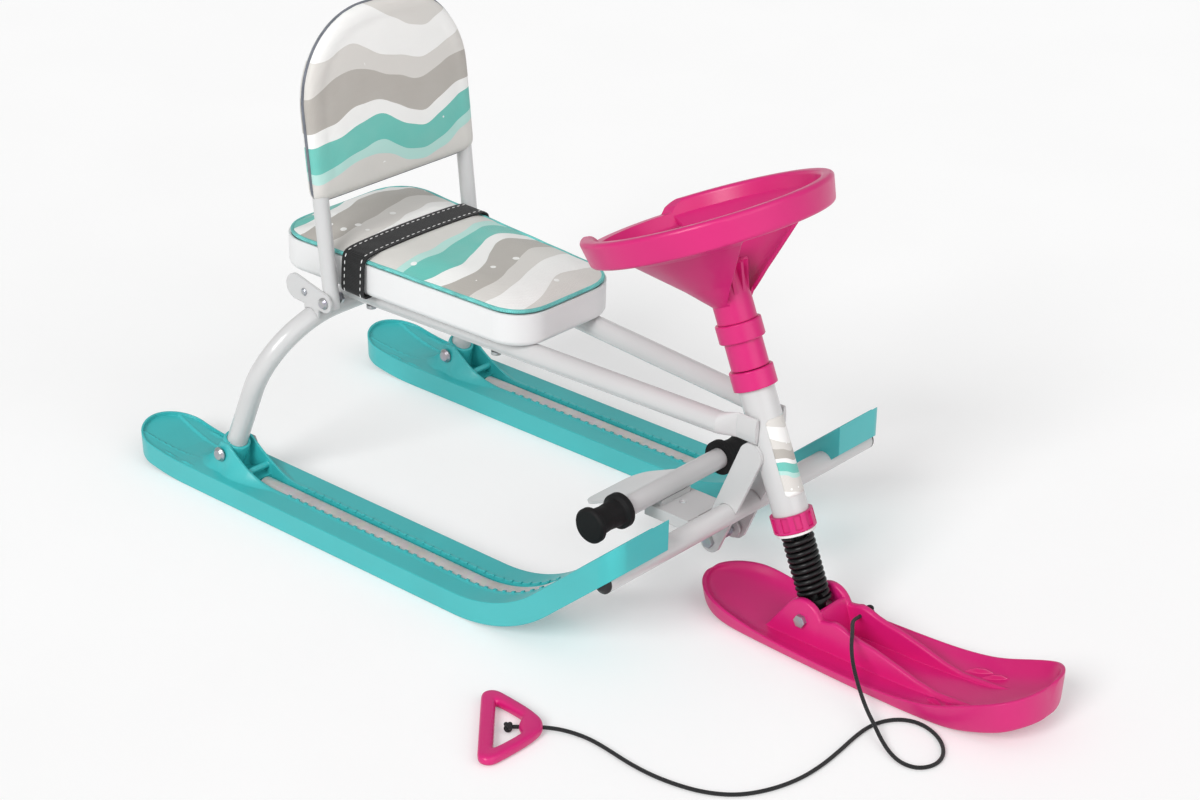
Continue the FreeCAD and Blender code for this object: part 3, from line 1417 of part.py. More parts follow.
# Form of the front ski along its length: place, half width, sole height, rim height and deck height,
# the place as a share of the length and the rest as shares of the half width and the tip's height.
FORM_SHARES = [
    (0, 0.8, 0.16, 0.4, 0.34), (0.04, 0.82, 0.08, 0.395, 0.24), (0.09, 0.84, 0.025, 0.38, 0.175),
    (0.13, 0.85, 0.006, 0.335, 0.145), (0.18, 0.87, 0, 0.28, 0.135), (0.24, 0.89, 0, 0.235, 0.135),
    (0.32, 0.92, 0, 0.205, 0.135), (0.45, 0.96, 0, 0.2, 0.135), (0.56, 0.985, 0, 0.21, 0.135),
    (0.65, 1, 0, 0.235, 0.14), (0.74, 1, 0, 0.32, 0.165), (0.8, 0.99, 0.015, 0.45, 0.2),
    (0.85, 0.97, 0.065, 0.6, 0.27), (0.9, 0.95, 0.16, 0.76, 0.38), (0.95, 0.93, 0.29, 0.89, 0.55),
    (1, 0.92, 0.42, 1, 0.78),
]


def form_at(share):
    """Half width, sole, rim and deck of the front ski at a share of its length, from the table."""
    for low, high in zip(FORM_SHARES, FORM_SHARES[1:]):
        if share <= high[0]:
            break
    part = (share - low[0]) / (high[0] - low[0])
    half, sole, rim, deck = [first + (second - first) * part for first, second in zip(low[1:], high[1:])]
    tall = size("front_ski_height")
    return half * size("front_ski_width") / 2, sole * tall, rim * tall, deck * tall


def front_stations(inset):
    """Places along the front ski, drawn in by an inset, with the half width, sole, rim and deck there."""
    tail = pivot.x - size("front_ski_tail")
    length = size("front_ski_tail") + size("front_ski_reach")
    tail_end = TAIL_END_SHARE * length
    tip_end = TIP_END_SHARE * length
    rows = [(place * tail_end, width) for place, width in TAIL_SHARES]
    middle = [share for share, *rest in FORM_SHARES if tail_end < share * length < length - tip_end]
    rows += [(share * length, 1) for share in middle]
    rows += [(length - tip_end + place * tip_end, width) for place, width in TIP_SHARES]
    stations = []
    for place, width in rows:
        half, sole, rim, deck = form_at(place / length)
        x = tail + inset + place * (length - 2 * inset) / length
        stations.append((x, half * width - inset, sole, rim, deck))
    return stations


def lofted(sections):
    """Solid through closed outlines of points."""
    return Part.makeLoft([Part.makePolygon(points + points[:1]) for points in sections], True, True)


def mirrored(x, side):
    """Outline across the ski at one place along it, from the (half width, height) points of one side."""
    return [V(x, half, z) for half, z in side] + [V(x, -half, z) for half, z in reversed(side)]


def front_hull():
    """Outside of the front ski: sole trimmed flat on the ground, sides that flare up to the rim, and
    turned-up tail and tip."""
    flare = size("front_ski_flare")
    trim = size("front_ski_sole_trim")
    wide = size("front_ski_width")
    long = size("front_ski_tail") + size("front_ski_reach")
    sections = []
    for x, half, sole, rim, deck in front_stations(0):
        sections.append(mirrored(x, [(half - flare, sole - trim), (half, rim)]))
    ground = Part.makeBox(long, wide, over, V(pivot.x - size("front_ski_tail"), -wide / 2, -over))
    return lofted(sections).cut(ground)


def front_tray():
    """Hollow of the front ski: a dished deck whose sides slope up to the rim."""
    slope_share = 0.8
    wall = size("front_ski_wall")
    sections = []
    for x, half, sole, rim, deck in front_stations(wall):
        sections.append(mirrored(x, [(half * slope_share, deck), (half, rim), (half, rim + over)]))
    return lofted(sections)


def front_ski_shape():
    """Moulded front ski: dished hull, hollow underside with a keel, and a two-sided bracket."""
    floor = size("front_ski_deck") - size("front_ski_floor")
    start = pivot.x - size("front_ski_flat_rear")
    end = pivot.x + size("front_ski_flat_ahead")
    edge = size("front_ski_width") / 2 - size("front_ski_flare") - 4 * size("front_ski_wall")
    keel = size("front_keel_width") / 2
    unders = [Part.makeBox(end - start, edge - keel, floor + over, V(start, low, -over))
              for low in (keel, -edge)]
    body = front_hull().cut(Part.makeCompound([front_tray()] + unders))
    body = fused([body] + bracket())
    hole_x = pivot.x + size("cord_hole_ahead")
    hole_z = size("cord_hole_height")
    outside = size("bracket_gap") / 2 + size("bracket_wall") + over
    holes = [
        rod(size("front_bolt_diameter") / 2 + gap, V(pivot.x, -outside, pivot.z),
            V(pivot.x, outside, pivot.z)),
        rod(size("cord_hole_diameter") / 2, V(hole_x, 0, hole_z), V(hole_x, outside, hole_z)),
    ]
    return body.cut(Part.makeCompound(holes))


def bracket():
    """Two upright cheeks with round heads about the pivot that run out along the deck, bosses towards
    the column, and a sloping web between the cheeks ahead of it."""
    inner = size("bracket_gap") / 2
    wall = size("bracket_wall")
    foot = size("front_ski_deck") - size("front_ski_floor") / 2
    head = size("bracket_peak_radius")
    rear = size("bracket_rear_length")
    nose = size("bracket_nose_length")
    crest = size("bracket_crest_height") - foot
    head_shares = ((-0.75, 0.66), (0.5, 0.866))
    crest_shares = ((0.12, 0.9), (0.16, 0.93), (0.2, 0.99), (0.25, 0.93), (0.3, 0.84), (0.37, 0.77),
                    (0.46, 0.7), (0.6, 0.53), (0.73, 0.33), (0.85, 0.18), (1, 0.09))
    profile = [(-rear, foot)]
    profile += [(head * along_share, pivot.z + head * up_share) for along_share, up_share in head_shares]
    profile += [(nose * along_share, foot + crest * up_share) for along_share, up_share in crest_shares]
    profile.append((nose, foot))
    solids = []
    for low in (inner, -inner - wall):
        cheek = slab([V(pivot.x + x, low, z) for x, z in profile], V(0, wall, 0))
        round_head = rod(head, V(pivot.x, low, pivot.z), V(pivot.x, low + wall, pivot.z))
        below = Part.makeBox(2 * head, wall, head, V(pivot.x - head, low, foot - head))
        solids += [cheek, round_head.cut(below)]
    near = size("column_diameter") / 2 + 2 * gap
    for sign in (1, -1):
        solids.append(rod(size("bracket_boss_diameter") / 2, V(pivot.x, sign * near, pivot.z),
                          V(pivot.x, sign * (inner + gap), pivot.z)))
    ahead = pivot.x + size("bracket_web_ahead")
    run = size("bracket_web_run")
    thick = size("bracket_web")
    top = pivot.z + size("bracket_web_rise")
    web = [V(ahead, -inner - gap, top), V(ahead + thick, -inner - gap, top),
           V(ahead + thick + run, -inner - gap, foot), V(ahead + run, -inner - gap, foot)]
    solids.append(slab(web, V(0, 2 * (inner + gap), 0)))
    return solids


def front_end():
    """Front ski with its pivot bolt and nut."""
    shaped("front_ski", front_ski_shape())
    outside = size("bracket_gap") / 2 + size("bracket_wall") + gap
    head = Placement(V(pivot.x, -outside, pivot.z), along(Y_AXIS))
    length = ("Size.bracket_gap + 2 * Size.bracket_wall + 2 * Size.clearance + Size.front_nut_height")
    hex_bolt("front_bolt", "Size.front_bolt_diameter", length, "Size.front_bolt_head_width",
             "Size.front_bolt_head_height", head)
    nuts("front_nut", "Size.front_bolt_head_width", "Size.front_nut_height", "Size.front_bolt_diameter",
         [Placement(V(pivot.x, outside, pivot.z), along(Y_AXIS))])


def hex_bolt(label, shank_diameter, shank_length, head_width, head_height, place):
    """Bolt with a six-sided head; its shank runs along the placement's +Z from under the head."""
    head = doc.addObject("Part::Prism", f"{label}_head")
    head.Polygon = 6
    head.setExpression("Circumradius", f"{head_width} / sqrt(3)")
    head.setExpression("Height", head_height)
    head.Placement = moved(place, 0, 0, -worked_out(head_height))
    item = doc.addObject("Part::Fuse", label)
    item.Label = label
    item.Base = head
    item.Tool = cylinder(f"{label}_shank", f"{shank_diameter} / 2", shank_length, place)
    return item


# Springs

def coil_points(radius, pitch, turns, steps):
    """Points and headings along a helix about +Z, from the XY plane up."""
    slope = pitch / (2 * math.pi)
    length = math.hypot(radius, slope)
    result = []
    for step in range(round(turns * steps) + 1):
        angle = 2 * math.pi * step / steps
        point = V(radius * math.cos(angle), radius * math.sin(angle), slope * angle)
        heading = V(-radius * math.sin(angle), radius * math.cos(angle), slope) * (1 / length)
        result.append((point, heading))
    return result


def arc_middle(start, heading, end):
    """Middle of the arc that leaves a point along a heading and ends at another point."""
    chord = end - start
    unit = V(chord).normalize()
    side = heading - unit * heading.dot(unit)
    rise = chord.Length / 2 * math.tan(heading.getAngle(chord) / 2)
    return start + chord * 0.5 + side.normalize() * rise


def biarc(start, heading, end, end_heading):
    """Two arcs that leave a point along one heading and arrive at another along a second."""
    run = end - start
    both = heading + end_heading
    bend = 2 * (1 - heading.dot(end_heading))
    reach = (math.sqrt(run.dot(both) ** 2 + bend * run.dot(run)) - run.dot(both)) / bend
    joint = (start + end + (heading - end_heading) * reach) * 0.5
    first = Part.Arc(start, arc_middle(start, heading, joint), joint)
    second = Part.Arc(joint, arc_middle(end, end_heading * -1, joint), end)
    return [first.toShape(), second.toShape()]


def coil(radius, pitch, turns, wire_radius):
    """Round wire wound on a helix, with each end running straight for one wire diameter."""
    quarters = 4
    points = coil_points(radius, pitch, turns, quarters)
    edges = []
    for (start, heading), (end, end_heading) in zip(points, points[1:]):
        edges += biarc(start, heading, end, end_heading)
    first, first_heading = points[0]
    last, last_heading = points[-1]
    lead = first - first_heading * (2 * wire_radius)
    tail = last + last_heading * (2 * wire_radius)
    edges = [Part.makeLine(lead, first)] + edges + [Part.makeLine(last, tail)]
    path = Part.Wire(edges)
    ring = Part.Wire(Part.makeCircle(wire_radius, lead, first_heading))
    solid = path.makePipeShell([ring], True, False)
    print("coil gap", round(pitch - 2 * wire_radius, 3), "volume share",
          round(solid.Volume / (path.Length * math.pi * wire_radius ** 2), 4))
    return solid


def front_spring():
    """Coil spring between the thrust washer and its seat on the column."""
    wire = size("spring_wire") / 2
    low = worked_out(spring_low()) + wire
    solid = coil(size("spring_diameter") / 2 - wire, size("spring_pitch"), size("spring_turns"), wire)
    room = 4 * size("spring_diameter")
    top = worked_out(spring_low()) + size("spring_turns") * size("spring_pitch") + size("spring_wire")
    solid.translate(V(0, 0, low))
    bottom = worked_out(spring_low())
    keep = Part.makeBox(room, room, top - bottom, V(-room / 2, -room / 2, bottom))
    shaped("front_spring", solid.common(keep), steer_place)


# Brake

def brake():
    """Foot brake: bent lever, footrest tube with grips, pivot bolt and return spring."""
    shaped("brake_lever", lever_shape(), Placement(ear, Rotation()))
    across = Rotation(X_AXIS, -90)
    rest_x = ear.x - size("footrest_behind_pivot")
    rest_z = ear.z + size("footrest_above_pivot")
    rest_half = size("footrest_length") / 2
    straight_tube("footrest_tube", "Size.footrest_diameter", "Size.tube_wall", "Size.footrest_length",
                  Placement(V(rest_x, -rest_half, rest_z), across))
    bore = "Size.footrest_diameter / 2 + Size.clearance"
    length = "Size.grip_length"
    wide = "Size.grip_flange_diameter / 2"
    fade_share = 1.4
    corners = [
        (bore, "0"), (wide, "0"), (wide, "Size.grip_flange"),
        ("Size.grip_diameter / 2", f"Size.grip_flange * {fade_share}"),
        ("Size.grip_waist_diameter / 2", f"{length} / 2"),
        ("Size.grip_diameter / 2", f"{length} - Size.grip_flange * {fade_share}"),
        (wide, f"{length} - Size.grip_flange"), (wide, f"{length} - Size.grip_flange / 3"),
        (f"{wide} - Size.grip_flange / 3", length), ("0", length), ("0", f"{length} - Size.grip_cap"),
        (bore, f"{length} - Size.grip_cap")]
    for side, sign in SIDES.items():
        start = sign * (rest_half + gap + size("grip_cap") - size("grip_length"))
        place = Placement(V(rest_x, start, rest_z), along(V(0, sign, 0)))
        turned(f"footrest_grip_{side}", corners, place)
    outside = size("head_diameter") / 2 + 2 * gap + size("strut_thickness")
    bolt_length = ("Size.head_diameter + 2 * Size.strut_thickness + 4 * Size.clearance"
                   " + Size.front_nut_height")
    hex_bolt("brake_bolt", "Size.brake_bolt_diameter", bolt_length, "Size.brake_bolt_head_width",
             "Size.brake_bolt_head_height", Placement(V(ear.x, -outside, ear.z), along(Y_AXIS)))
    nuts("brake_nut", "Size.brake_bolt_head_width", "Size.front_nut_height", "Size.brake_bolt_diameter",
         [Placement(V(ear.x, outside, ear.z), along(Y_AXIS))])
    wire = size("brake_spring_wire") / 2
    turns = size("brake_spring_turns")
    pitch = size("brake_spring_pitch")
    spring = coil(size("brake_spring_diameter") / 2 - wire, pitch, turns, wire)
    shaped("brake_spring", spring, Placement(V(ear.x, -turns * pitch / 2, ear.z), Rotation(X_AXIS, -90)))


def lever_shape():
    """Bent plate about its pivot: two ears, a flanged arm under the footrest and a blade behind it."""
    thick = size("lever_thickness")
    top = size("lever_top_rise")
    start = -size("lever_arm_start")
    end = -size("lever_arm_end")
    half = size("lever_arm_width") / 2
    rest = V(-size("footrest_behind_pivot"), 0, size("footrest_above_pivot"))
    angle = size("lever_blade_angle")
    blade_place = Placement(rest, turned_about_y(-angle))
    near = -size("footrest_diameter") / 2 - gap
    far = near - size("lever_blade_length")
    blade_half = size("lever_blade_width") / 2
    corners = [V(far, -blade_half, -thick / 2), V(near, -blade_half, -thick / 2),
               V(near, blade_half, -thick / 2), V(far, blade_half, -thick / 2)]
    rear_radius = size("lever_blade_corner")
    outline = rounded_wire(corners, [rear_radius, thick, thick, rear_radius])
    blade = placed(Part.Face(outline).extrude(V(0, 0, thick)), blade_place)
    arm = Part.makeBox(start - end, 2 * half, thick, V(end, -half, top - thick))
    drop = size("lever_arm_flange")
    solids = [blade, arm]
    flange_share = 0.72
    flange_length = (start - end) * flange_share
    for low in (-half, half - thick):
        solids.append(Part.makeBox(flange_length, thick, drop, V(start - flange_length, low, top - drop)))
    inner = size("lever_inner_width") / 2
    radius = size("lever_ear_radius")
    for low in (inner, -inner - thick):
        round_end = rod(radius, V(0, low, 0), V(0, low + thick, 0))
        side = [V(0, low, -radius), V(0, low, radius), V(start, low, top), V(start - radius, low, top),
                V(start - radius, low, top - drop)]
        solids += [round_end, slab(side, V(0, thick, 0))]
    saddle_half = size("saddle_width") / 2
    saddle = size("saddle_length")
    saddle_corner = V(rest.x - saddle / 2, -saddle_half, top)
    solids.append(Part.makeBox(saddle, 2 * saddle_half, rest.z - top, saddle_corner))
    body = fused(solids)
    holes = [
        rod(size("footrest_diameter") / 2 + gap, V(rest.x, -2 * half, rest.z), V(rest.x, 2 * half, rest.z)),
        rod(size("brake_bolt_diameter") / 2 + run_gap, V(0, -half, 0), V(0, half, 0)),
        Part.makeCylinder(size("lever_hole_diameter") / 2, 2 * thick,
                          V(-size("lever_hole_from_pivot"), 0, top - 3 * thick / 2)),
    ]
    return body.cut(Part.makeCompound(holes))


# Tow cord and handle

# Route of the cord, as places ahead of the front ski's pivot, across the sled, and above the ground,
# each as a share of the cord's unit length.
CORD_SHARES = [
    (0.4, 0.396, 0.32), (0.403, 0.18, 0.324), (0.5, -0.06, 0.42), (0.66, -0.27, 0.452),
    (0.8, -0.48, 0.42), (0.96, -0.66, 0.355), (1.12, -0.79, 0.26), (1.27, -0.895, 0.175),
    (1.42, -1, 0.12), (1.6, -1.13, 0.105), (1.77, -1.24, 0.056), (1.96, -1.35, 0.029),
    (2.16, -1.42, 0.025), (2.34, -1.38, 0.025), (2.43, -1.21, 0.025), (2.39, -1.01, 0.025),
    (2.24, -0.83, 0.025), (2.04, -0.72, 0.025), (1.84, -0.69, 0.025), (1.67, -0.76, 0.025),
    (1.56, -0.91, 0.025), (1.51, -1.1, 0.025), (1.52, -1.35, 0.025), (1.56, -1.65, 0.025),
    (1.59, -2, 0.025), (1.57, -2.35, 0.025), (1.47, -2.68, 0.025), (1.3, -2.96, 0.025),
    (1.04, -3.14, 0.025), (0.74, -3.23, 0.025), (0.43, -3.27, 0.025), (0.12, -3.26, 0.025),
    (-0.18, -3.22, 0.025), (-0.44, -3.2, 0.025), (-0.64, -3.23, 0.028), (-0.79, -3.3, 0.044),
    (-0.92, -3.405, 0.06), (-1.05, -3.52, 0.062), (-1.18, -3.638, 0.062),
]


def cord_points():
    """Row-frame points of the cord's route."""
    unit = size("cord_unit_length")
    return [V(pivot.x + x * unit, y * unit, z * unit) for x, y, z in CORD_SHARES]


def tow_cord():
    """Round cord from the ski's bracket to the handle: straight runs joined by tangent arcs."""
    points = cord_points()
    radii = []
    share = 0.45
    for before, corner, after in zip(points, points[1:], points[2:]):
        shorter = min((corner - before).Length, (after - corner).Length)
        turn = (corner - before).getAngle(after - corner)
        radii.append(share * shorter / math.tan(turn / 2))
    path = rounded_run(points, radii)
    radius = size("cord_diameter") / 2
    ring = Part.Wire(Part.makeCircle(radius, points[0], points[1] - points[0]))
    solid = path.makePipeShell([ring], True, False)
    print("cord length", round(path.Length), "least bend", round(min(radii), 1), "volume share",
          round(solid.Volume / (path.Length * math.pi * radius ** 2), 4))
    shaped("tow_cord", solid)
    knots(points)


def knots(points):
    """Knots that hold the cord's two ends, each a barrel round the cord."""
    half = "Size.knot_length / 2"
    bore = "Size.cord_diameter / 2"
    thin = "Size.knot_diameter / 3"
    wide = "Size.knot_diameter / 2"
    corners = [(bore, f"-{half}"), (thin, f"-{half}"), (wide, f"-{half} / 3"),
               (wide, f"{half} / 3"), (thin, half), (bore, half)]
    inset = size("knot_length") / 2 + gap
    places = []
    for end, inner in ((points[0], points[1]), (points[-1], points[-2])):
        heading = (inner - end).normalize()
        places.append(Placement(end + heading * inset, along(heading)))
    items = [turned(f"cord_knot_{number}", corners, place) for number, place in enumerate(places, 1)]
    group("cord_knots", items)


def tow_handle():
    """Triangular pull handle lying flat, with finger bumps on its long bar and a hole for the cord."""
    points = cord_points()
    heading = points[-1] - points[-2]
    turn = math.degrees(math.atan2(heading.y, heading.x))
    flat = V(heading.x, heading.y, 0).normalize()
    nose = points[-1] - flat * size("handle_nose_to_cord_end")
    place = Placement(V(nose.x, nose.y, size("handle_thickness") / 2), Rotation(Z_AXIS, turn))
    body = new_body("tow_handle", place)
    half = "Size.handle_length / 2"
    bar = "Size.handle_bar"
    nose_share = 0.75
    opening_shares = (1.4, 0.5, 1.9)
    nose_half = f"{bar} * {nose_share}"
    opening_nose, opening_nose_half, opening_side = [f"{bar} * {share}" for share in opening_shares]
    pad(body, "handle_block", "XY_Plane", lambda sketch: rounded_polygon(sketch, [
        ("0", f"-{nose_half}"), ("Size.handle_depth", f"-{half}"), ("Size.handle_depth", half),
        ("0", nose_half)], "Size.handle_corner_radius"), "Size.handle_thickness")
    pocket(body, "handle_opening", "XY_Plane", lambda sketch: rounded_polygon(sketch, [
        (opening_nose, f"-{opening_nose_half}"), (f"Size.handle_depth - {bar}", f"{opening_side} - {half}"),
        (f"Size.handle_depth - {bar}", f"{half} - {opening_side}"), (opening_nose, opening_nose_half)],
        "Size.handle_corner_radius / 2"))
    sketch = new_sketch(body, "handle_cord_hole_outline", "YZ_Plane")
    circle(sketch, "0", "0", "Size.cord_hole_diameter / 2")
    hole = body.newObject("PartDesign::Pocket", "handle_cord_hole")
    hole.Profile = sketch
    hole.Reversed = True
    hole.setExpression("Length", f"{bar} * 2")
    before = body.Shape.Volume
    doc.recompute()
    if not body.Shape.Volume < before:
        raise ValueError("the handle has no hole for the cord")


def finish():
    """Check every object and write one file for each labelled sub-part."""
    doc.recompute()
    failed = [item.Name for item in doc.Objects if {"Invalid", "Error"} & set(item.State)]
    if failed:
        raise ValueError(f"failed objects: {failed}")
    os.makedirs("parts", exist_ok=True)
    for label in NODES:
        shape = doc.getObjectsByLabel(label)[0].Shape
        if shape.isNull() or not shape.isValid():
            raise ValueError(f"{label} is not a valid solid")
        print(label, len(shape.Solids), round(shape.Volume), shape.BoundBox)
        shape.exportStep(f"parts/{label}.step")


PAIRS = ["main_tube", "strut", "rear_ski", "runner", "hinge_plate", "footrest_grip"]
SINGLES = [
    "rear_arch", "head_tube", "cross_tube", "cross_tube_plugs", "ski_bolts", "ski_nuts", "seat_pan",
    "seat_cushion", "seat_screws", "seat_nuts", "seat_strap", "plate_rivets", "backrest_tube",
    "backrest_pad", "hinge_bolts", "hinge_nuts", "upper_bush", "lower_bush", "thrust_washer",
    "steering_column", "steering_wheel", "column_sleeve", "wheel_screw", "front_spring", "spring_seat",
    "front_ski", "front_bolt", "front_nut", "brake_lever", "footrest_tube", "brake_bolt", "brake_nut",
    "brake_spring", "tow_cord", "cord_knots", "tow_handle",
]
NODES = [f"{name}_{side}" for name in PAIRS for side in SIDES] + SINGLES

rear_skis()
frame_tubes()
struts()
seat_pan()
seat_cushion()
seat_fixings()
seat_strap()
backrest()
steering()
front_spring()
front_end()
brake()
tow_cord()
tow_handle()
finish()
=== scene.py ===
import json
import math

import bmesh
import bpy
from mathutils import Matrix, Vector
from mathutils.geometry import convex_hull_2d


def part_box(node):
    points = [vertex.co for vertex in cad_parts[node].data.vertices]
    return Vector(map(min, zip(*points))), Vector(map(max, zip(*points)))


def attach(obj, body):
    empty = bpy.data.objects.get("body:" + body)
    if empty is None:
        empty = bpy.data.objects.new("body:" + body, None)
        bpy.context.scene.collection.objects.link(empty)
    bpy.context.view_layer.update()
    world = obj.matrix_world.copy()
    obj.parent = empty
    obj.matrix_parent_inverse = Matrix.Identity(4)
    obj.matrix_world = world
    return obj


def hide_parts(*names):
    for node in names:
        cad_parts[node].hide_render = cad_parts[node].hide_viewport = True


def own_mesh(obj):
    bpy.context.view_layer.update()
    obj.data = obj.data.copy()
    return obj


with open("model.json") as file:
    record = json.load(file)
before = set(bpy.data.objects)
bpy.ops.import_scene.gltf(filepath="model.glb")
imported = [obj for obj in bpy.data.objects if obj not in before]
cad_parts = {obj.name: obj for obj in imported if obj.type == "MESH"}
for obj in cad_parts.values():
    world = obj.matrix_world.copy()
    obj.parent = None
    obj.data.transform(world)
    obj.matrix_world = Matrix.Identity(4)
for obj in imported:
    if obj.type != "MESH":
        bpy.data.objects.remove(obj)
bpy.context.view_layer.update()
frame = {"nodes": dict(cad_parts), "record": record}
scene = bpy.context.scene

# Where the seat and the backrest stand: their own origins and slopes, as in the solid model
SEAT = Matrix.Translation((-0.35997, 0, 0.26088)) @ Matrix.Rotation(math.radians(1.6), 4, "Y")
BACK = Matrix.Translation((-0.33797, 0, 0.24938)) @ Matrix.Rotation(math.radians(-5.5), 4, "Y")
STEERING_AXIS = Vector((-0.376224, 0, 0.926529))

# Route of the tow cord, from its knot in the front ski's bracket to its knot in the handle
CORD_DIAMETER = 0.0043
CORD_ROUTE = [
    (0.33691, 0.0396, 0.032), (0.33721, 0.018, 0.0324), (0.34691, -0.006, 0.042),
    (0.36291, -0.027, 0.0452), (0.37691, -0.048, 0.042), (0.39291, -0.066, 0.0355),
    (0.40891, -0.079, 0.026), (0.42391, -0.0895, 0.0175), (0.43891, -0.1, 0.012),
    (0.45691, -0.113, 0.0105), (0.47391, -0.124, 0.0056), (0.49291, -0.135, 0.0029),
    (0.51291, -0.142, 0.0025), (0.53091, -0.138, 0.0025), (0.53991, -0.121, 0.0025),
    (0.53591, -0.101, 0.0025), (0.52091, -0.083, 0.0025), (0.50091, -0.072, 0.0025),
    (0.48091, -0.069, 0.0025), (0.46391, -0.076, 0.0025), (0.45291, -0.091, 0.0025),
    (0.44791, -0.11, 0.0025), (0.44891, -0.135, 0.0025), (0.45291, -0.165, 0.0025),
    (0.45591, -0.2, 0.0025), (0.45391, -0.235, 0.0025), (0.44391, -0.268, 0.0025),
    (0.42691, -0.296, 0.0025), (0.40091, -0.314, 0.0025), (0.37091, -0.323, 0.0025),
    (0.33991, -0.327, 0.0025), (0.30891, -0.326, 0.0025), (0.27891, -0.322, 0.0025),
    (0.25291, -0.32, 0.0025), (0.23291, -0.323, 0.0028), (0.21791, -0.33, 0.0044),
    (0.20491, -0.3405, 0.006), (0.19191, -0.352, 0.0062), (0.17891, -0.3638, 0.0062),
]


# Small tools

def linear(red, green, blue):
    """Screen colour, 0 to 255, as the linear colour that a shader takes."""
    values = []
    for value in (red, green, blue):
        share = value / 255
        values.append(share / 12.92 if share <= 0.04045 else ((share + 0.055) / 1.055) ** 2.4)
    return (*values, 1)


def shade(colour, factor):
    """A colour made lighter or darker."""
    return (*[min(1, channel * factor) for channel in colour[:3]], 1)


def along_table(table, share):
    """Values of a table at a share between its rows."""
    for low, high in zip(table, table[1:]):
        if share <= high[0]:
            break
    part = (share - low[0]) / (high[0] - low[0])
    return [first + (second - first) * part for first, second in zip(low[1:], high[1:])]


def add(name, data):
    """New object in the scene."""
    obj = bpy.data.objects.new(name, data)
    scene.collection.objects.link(obj)
    return obj


def finish_piece(obj, body, slot, material=None):
    """Give a piece its material, taken from its slot unless one is given, and the body that it moves with.
    """
    obj.data.materials.clear()
    obj.data.materials.append(material or MATERIALS[slot])
    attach(obj, body)


def smooth(obj):
    """Smooth shading all over."""
    obj.data.polygons.foreach_set("use_smooth", [True] * len(obj.data.polygons))
    return obj


def apply_modifiers(obj):
    """Turn a piece's modifiers into its mesh."""
    depsgraph = bpy.context.evaluated_depsgraph_get()
    mesh = bpy.data.meshes.new_from_object(obj.evaluated_get(depsgraph))
    obj.modifiers.clear()
    old = obj.data
    obj.data = mesh
    bpy.data.meshes.remove(old)


def subdivided(obj, levels):
    """Give a piece a smooth subdivided surface."""
    modifier = obj.modifiers.new("smooth form", "SUBSURF")
    modifier.levels = levels
    modifier.render_levels = levels


def thickened(obj, thickness):
    """Give a sheet its thickness, half on each side."""
    modifier = obj.modifiers.new("thickness", "SOLIDIFY")
    modifier.thickness = thickness
    modifier.offset = 0


def from_bmesh(name, work):
    """New object from a finished bmesh, with its faces turned outward."""
    bmesh.ops.recalc_face_normals(work, faces=work.faces)
    mesh = bpy.data.meshes.new(name)
    work.to_mesh(mesh)
    work.free()
    return add(name, mesh)


def bridge(work, rows, closed=True):
    """Faces between neighbouring rows of points, each row a closed ring or an open line."""
    for first, second in zip(rows, rows[1:]):
        for index in range(len(first) if closed else len(first) - 1):
            after = (index + 1) % len(first)
            work.faces.new((first[index], first[after], second[after], second[index]))


def lofted(work, rings):
    """Closed form through rings of points."""
    rows = [[work.verts.new(point) for point in ring] for ring in rings]
    bridge(work, rows)
    work.faces.new(rows[0][::-1])
    work.faces.new(rows[-1])


def circle(radius, count):
    """Points round a circle about the origin."""
    angles = [2 * math.pi * step / count for step in range(count)]
    return [Vector((radius * math.cos(angle), radius * math.sin(angle), 0)) for angle in angles]


def curve(name, kind, points, radius):
    """Round curve of one spline through or near points, and that spline."""
    data = bpy.data.curves.new(name, "CURVE")
    data.dimensions = "3D"
    data.bevel_depth = radius
    data.bevel_resolution = 4
    spline = data.splines.new(kind)
    spline.points.add(len(points) - 1)
    for point, place in zip(spline.points, points):
        point.co = (*place, 1)
    return add(name, data), spline


def tube(name, points, radius):
    """Round tube along a closed line of points."""
    obj, spline = curve(name, "POLY", points, radius)
    spline.use_cyclic_u = True
    return obj


# Material tools

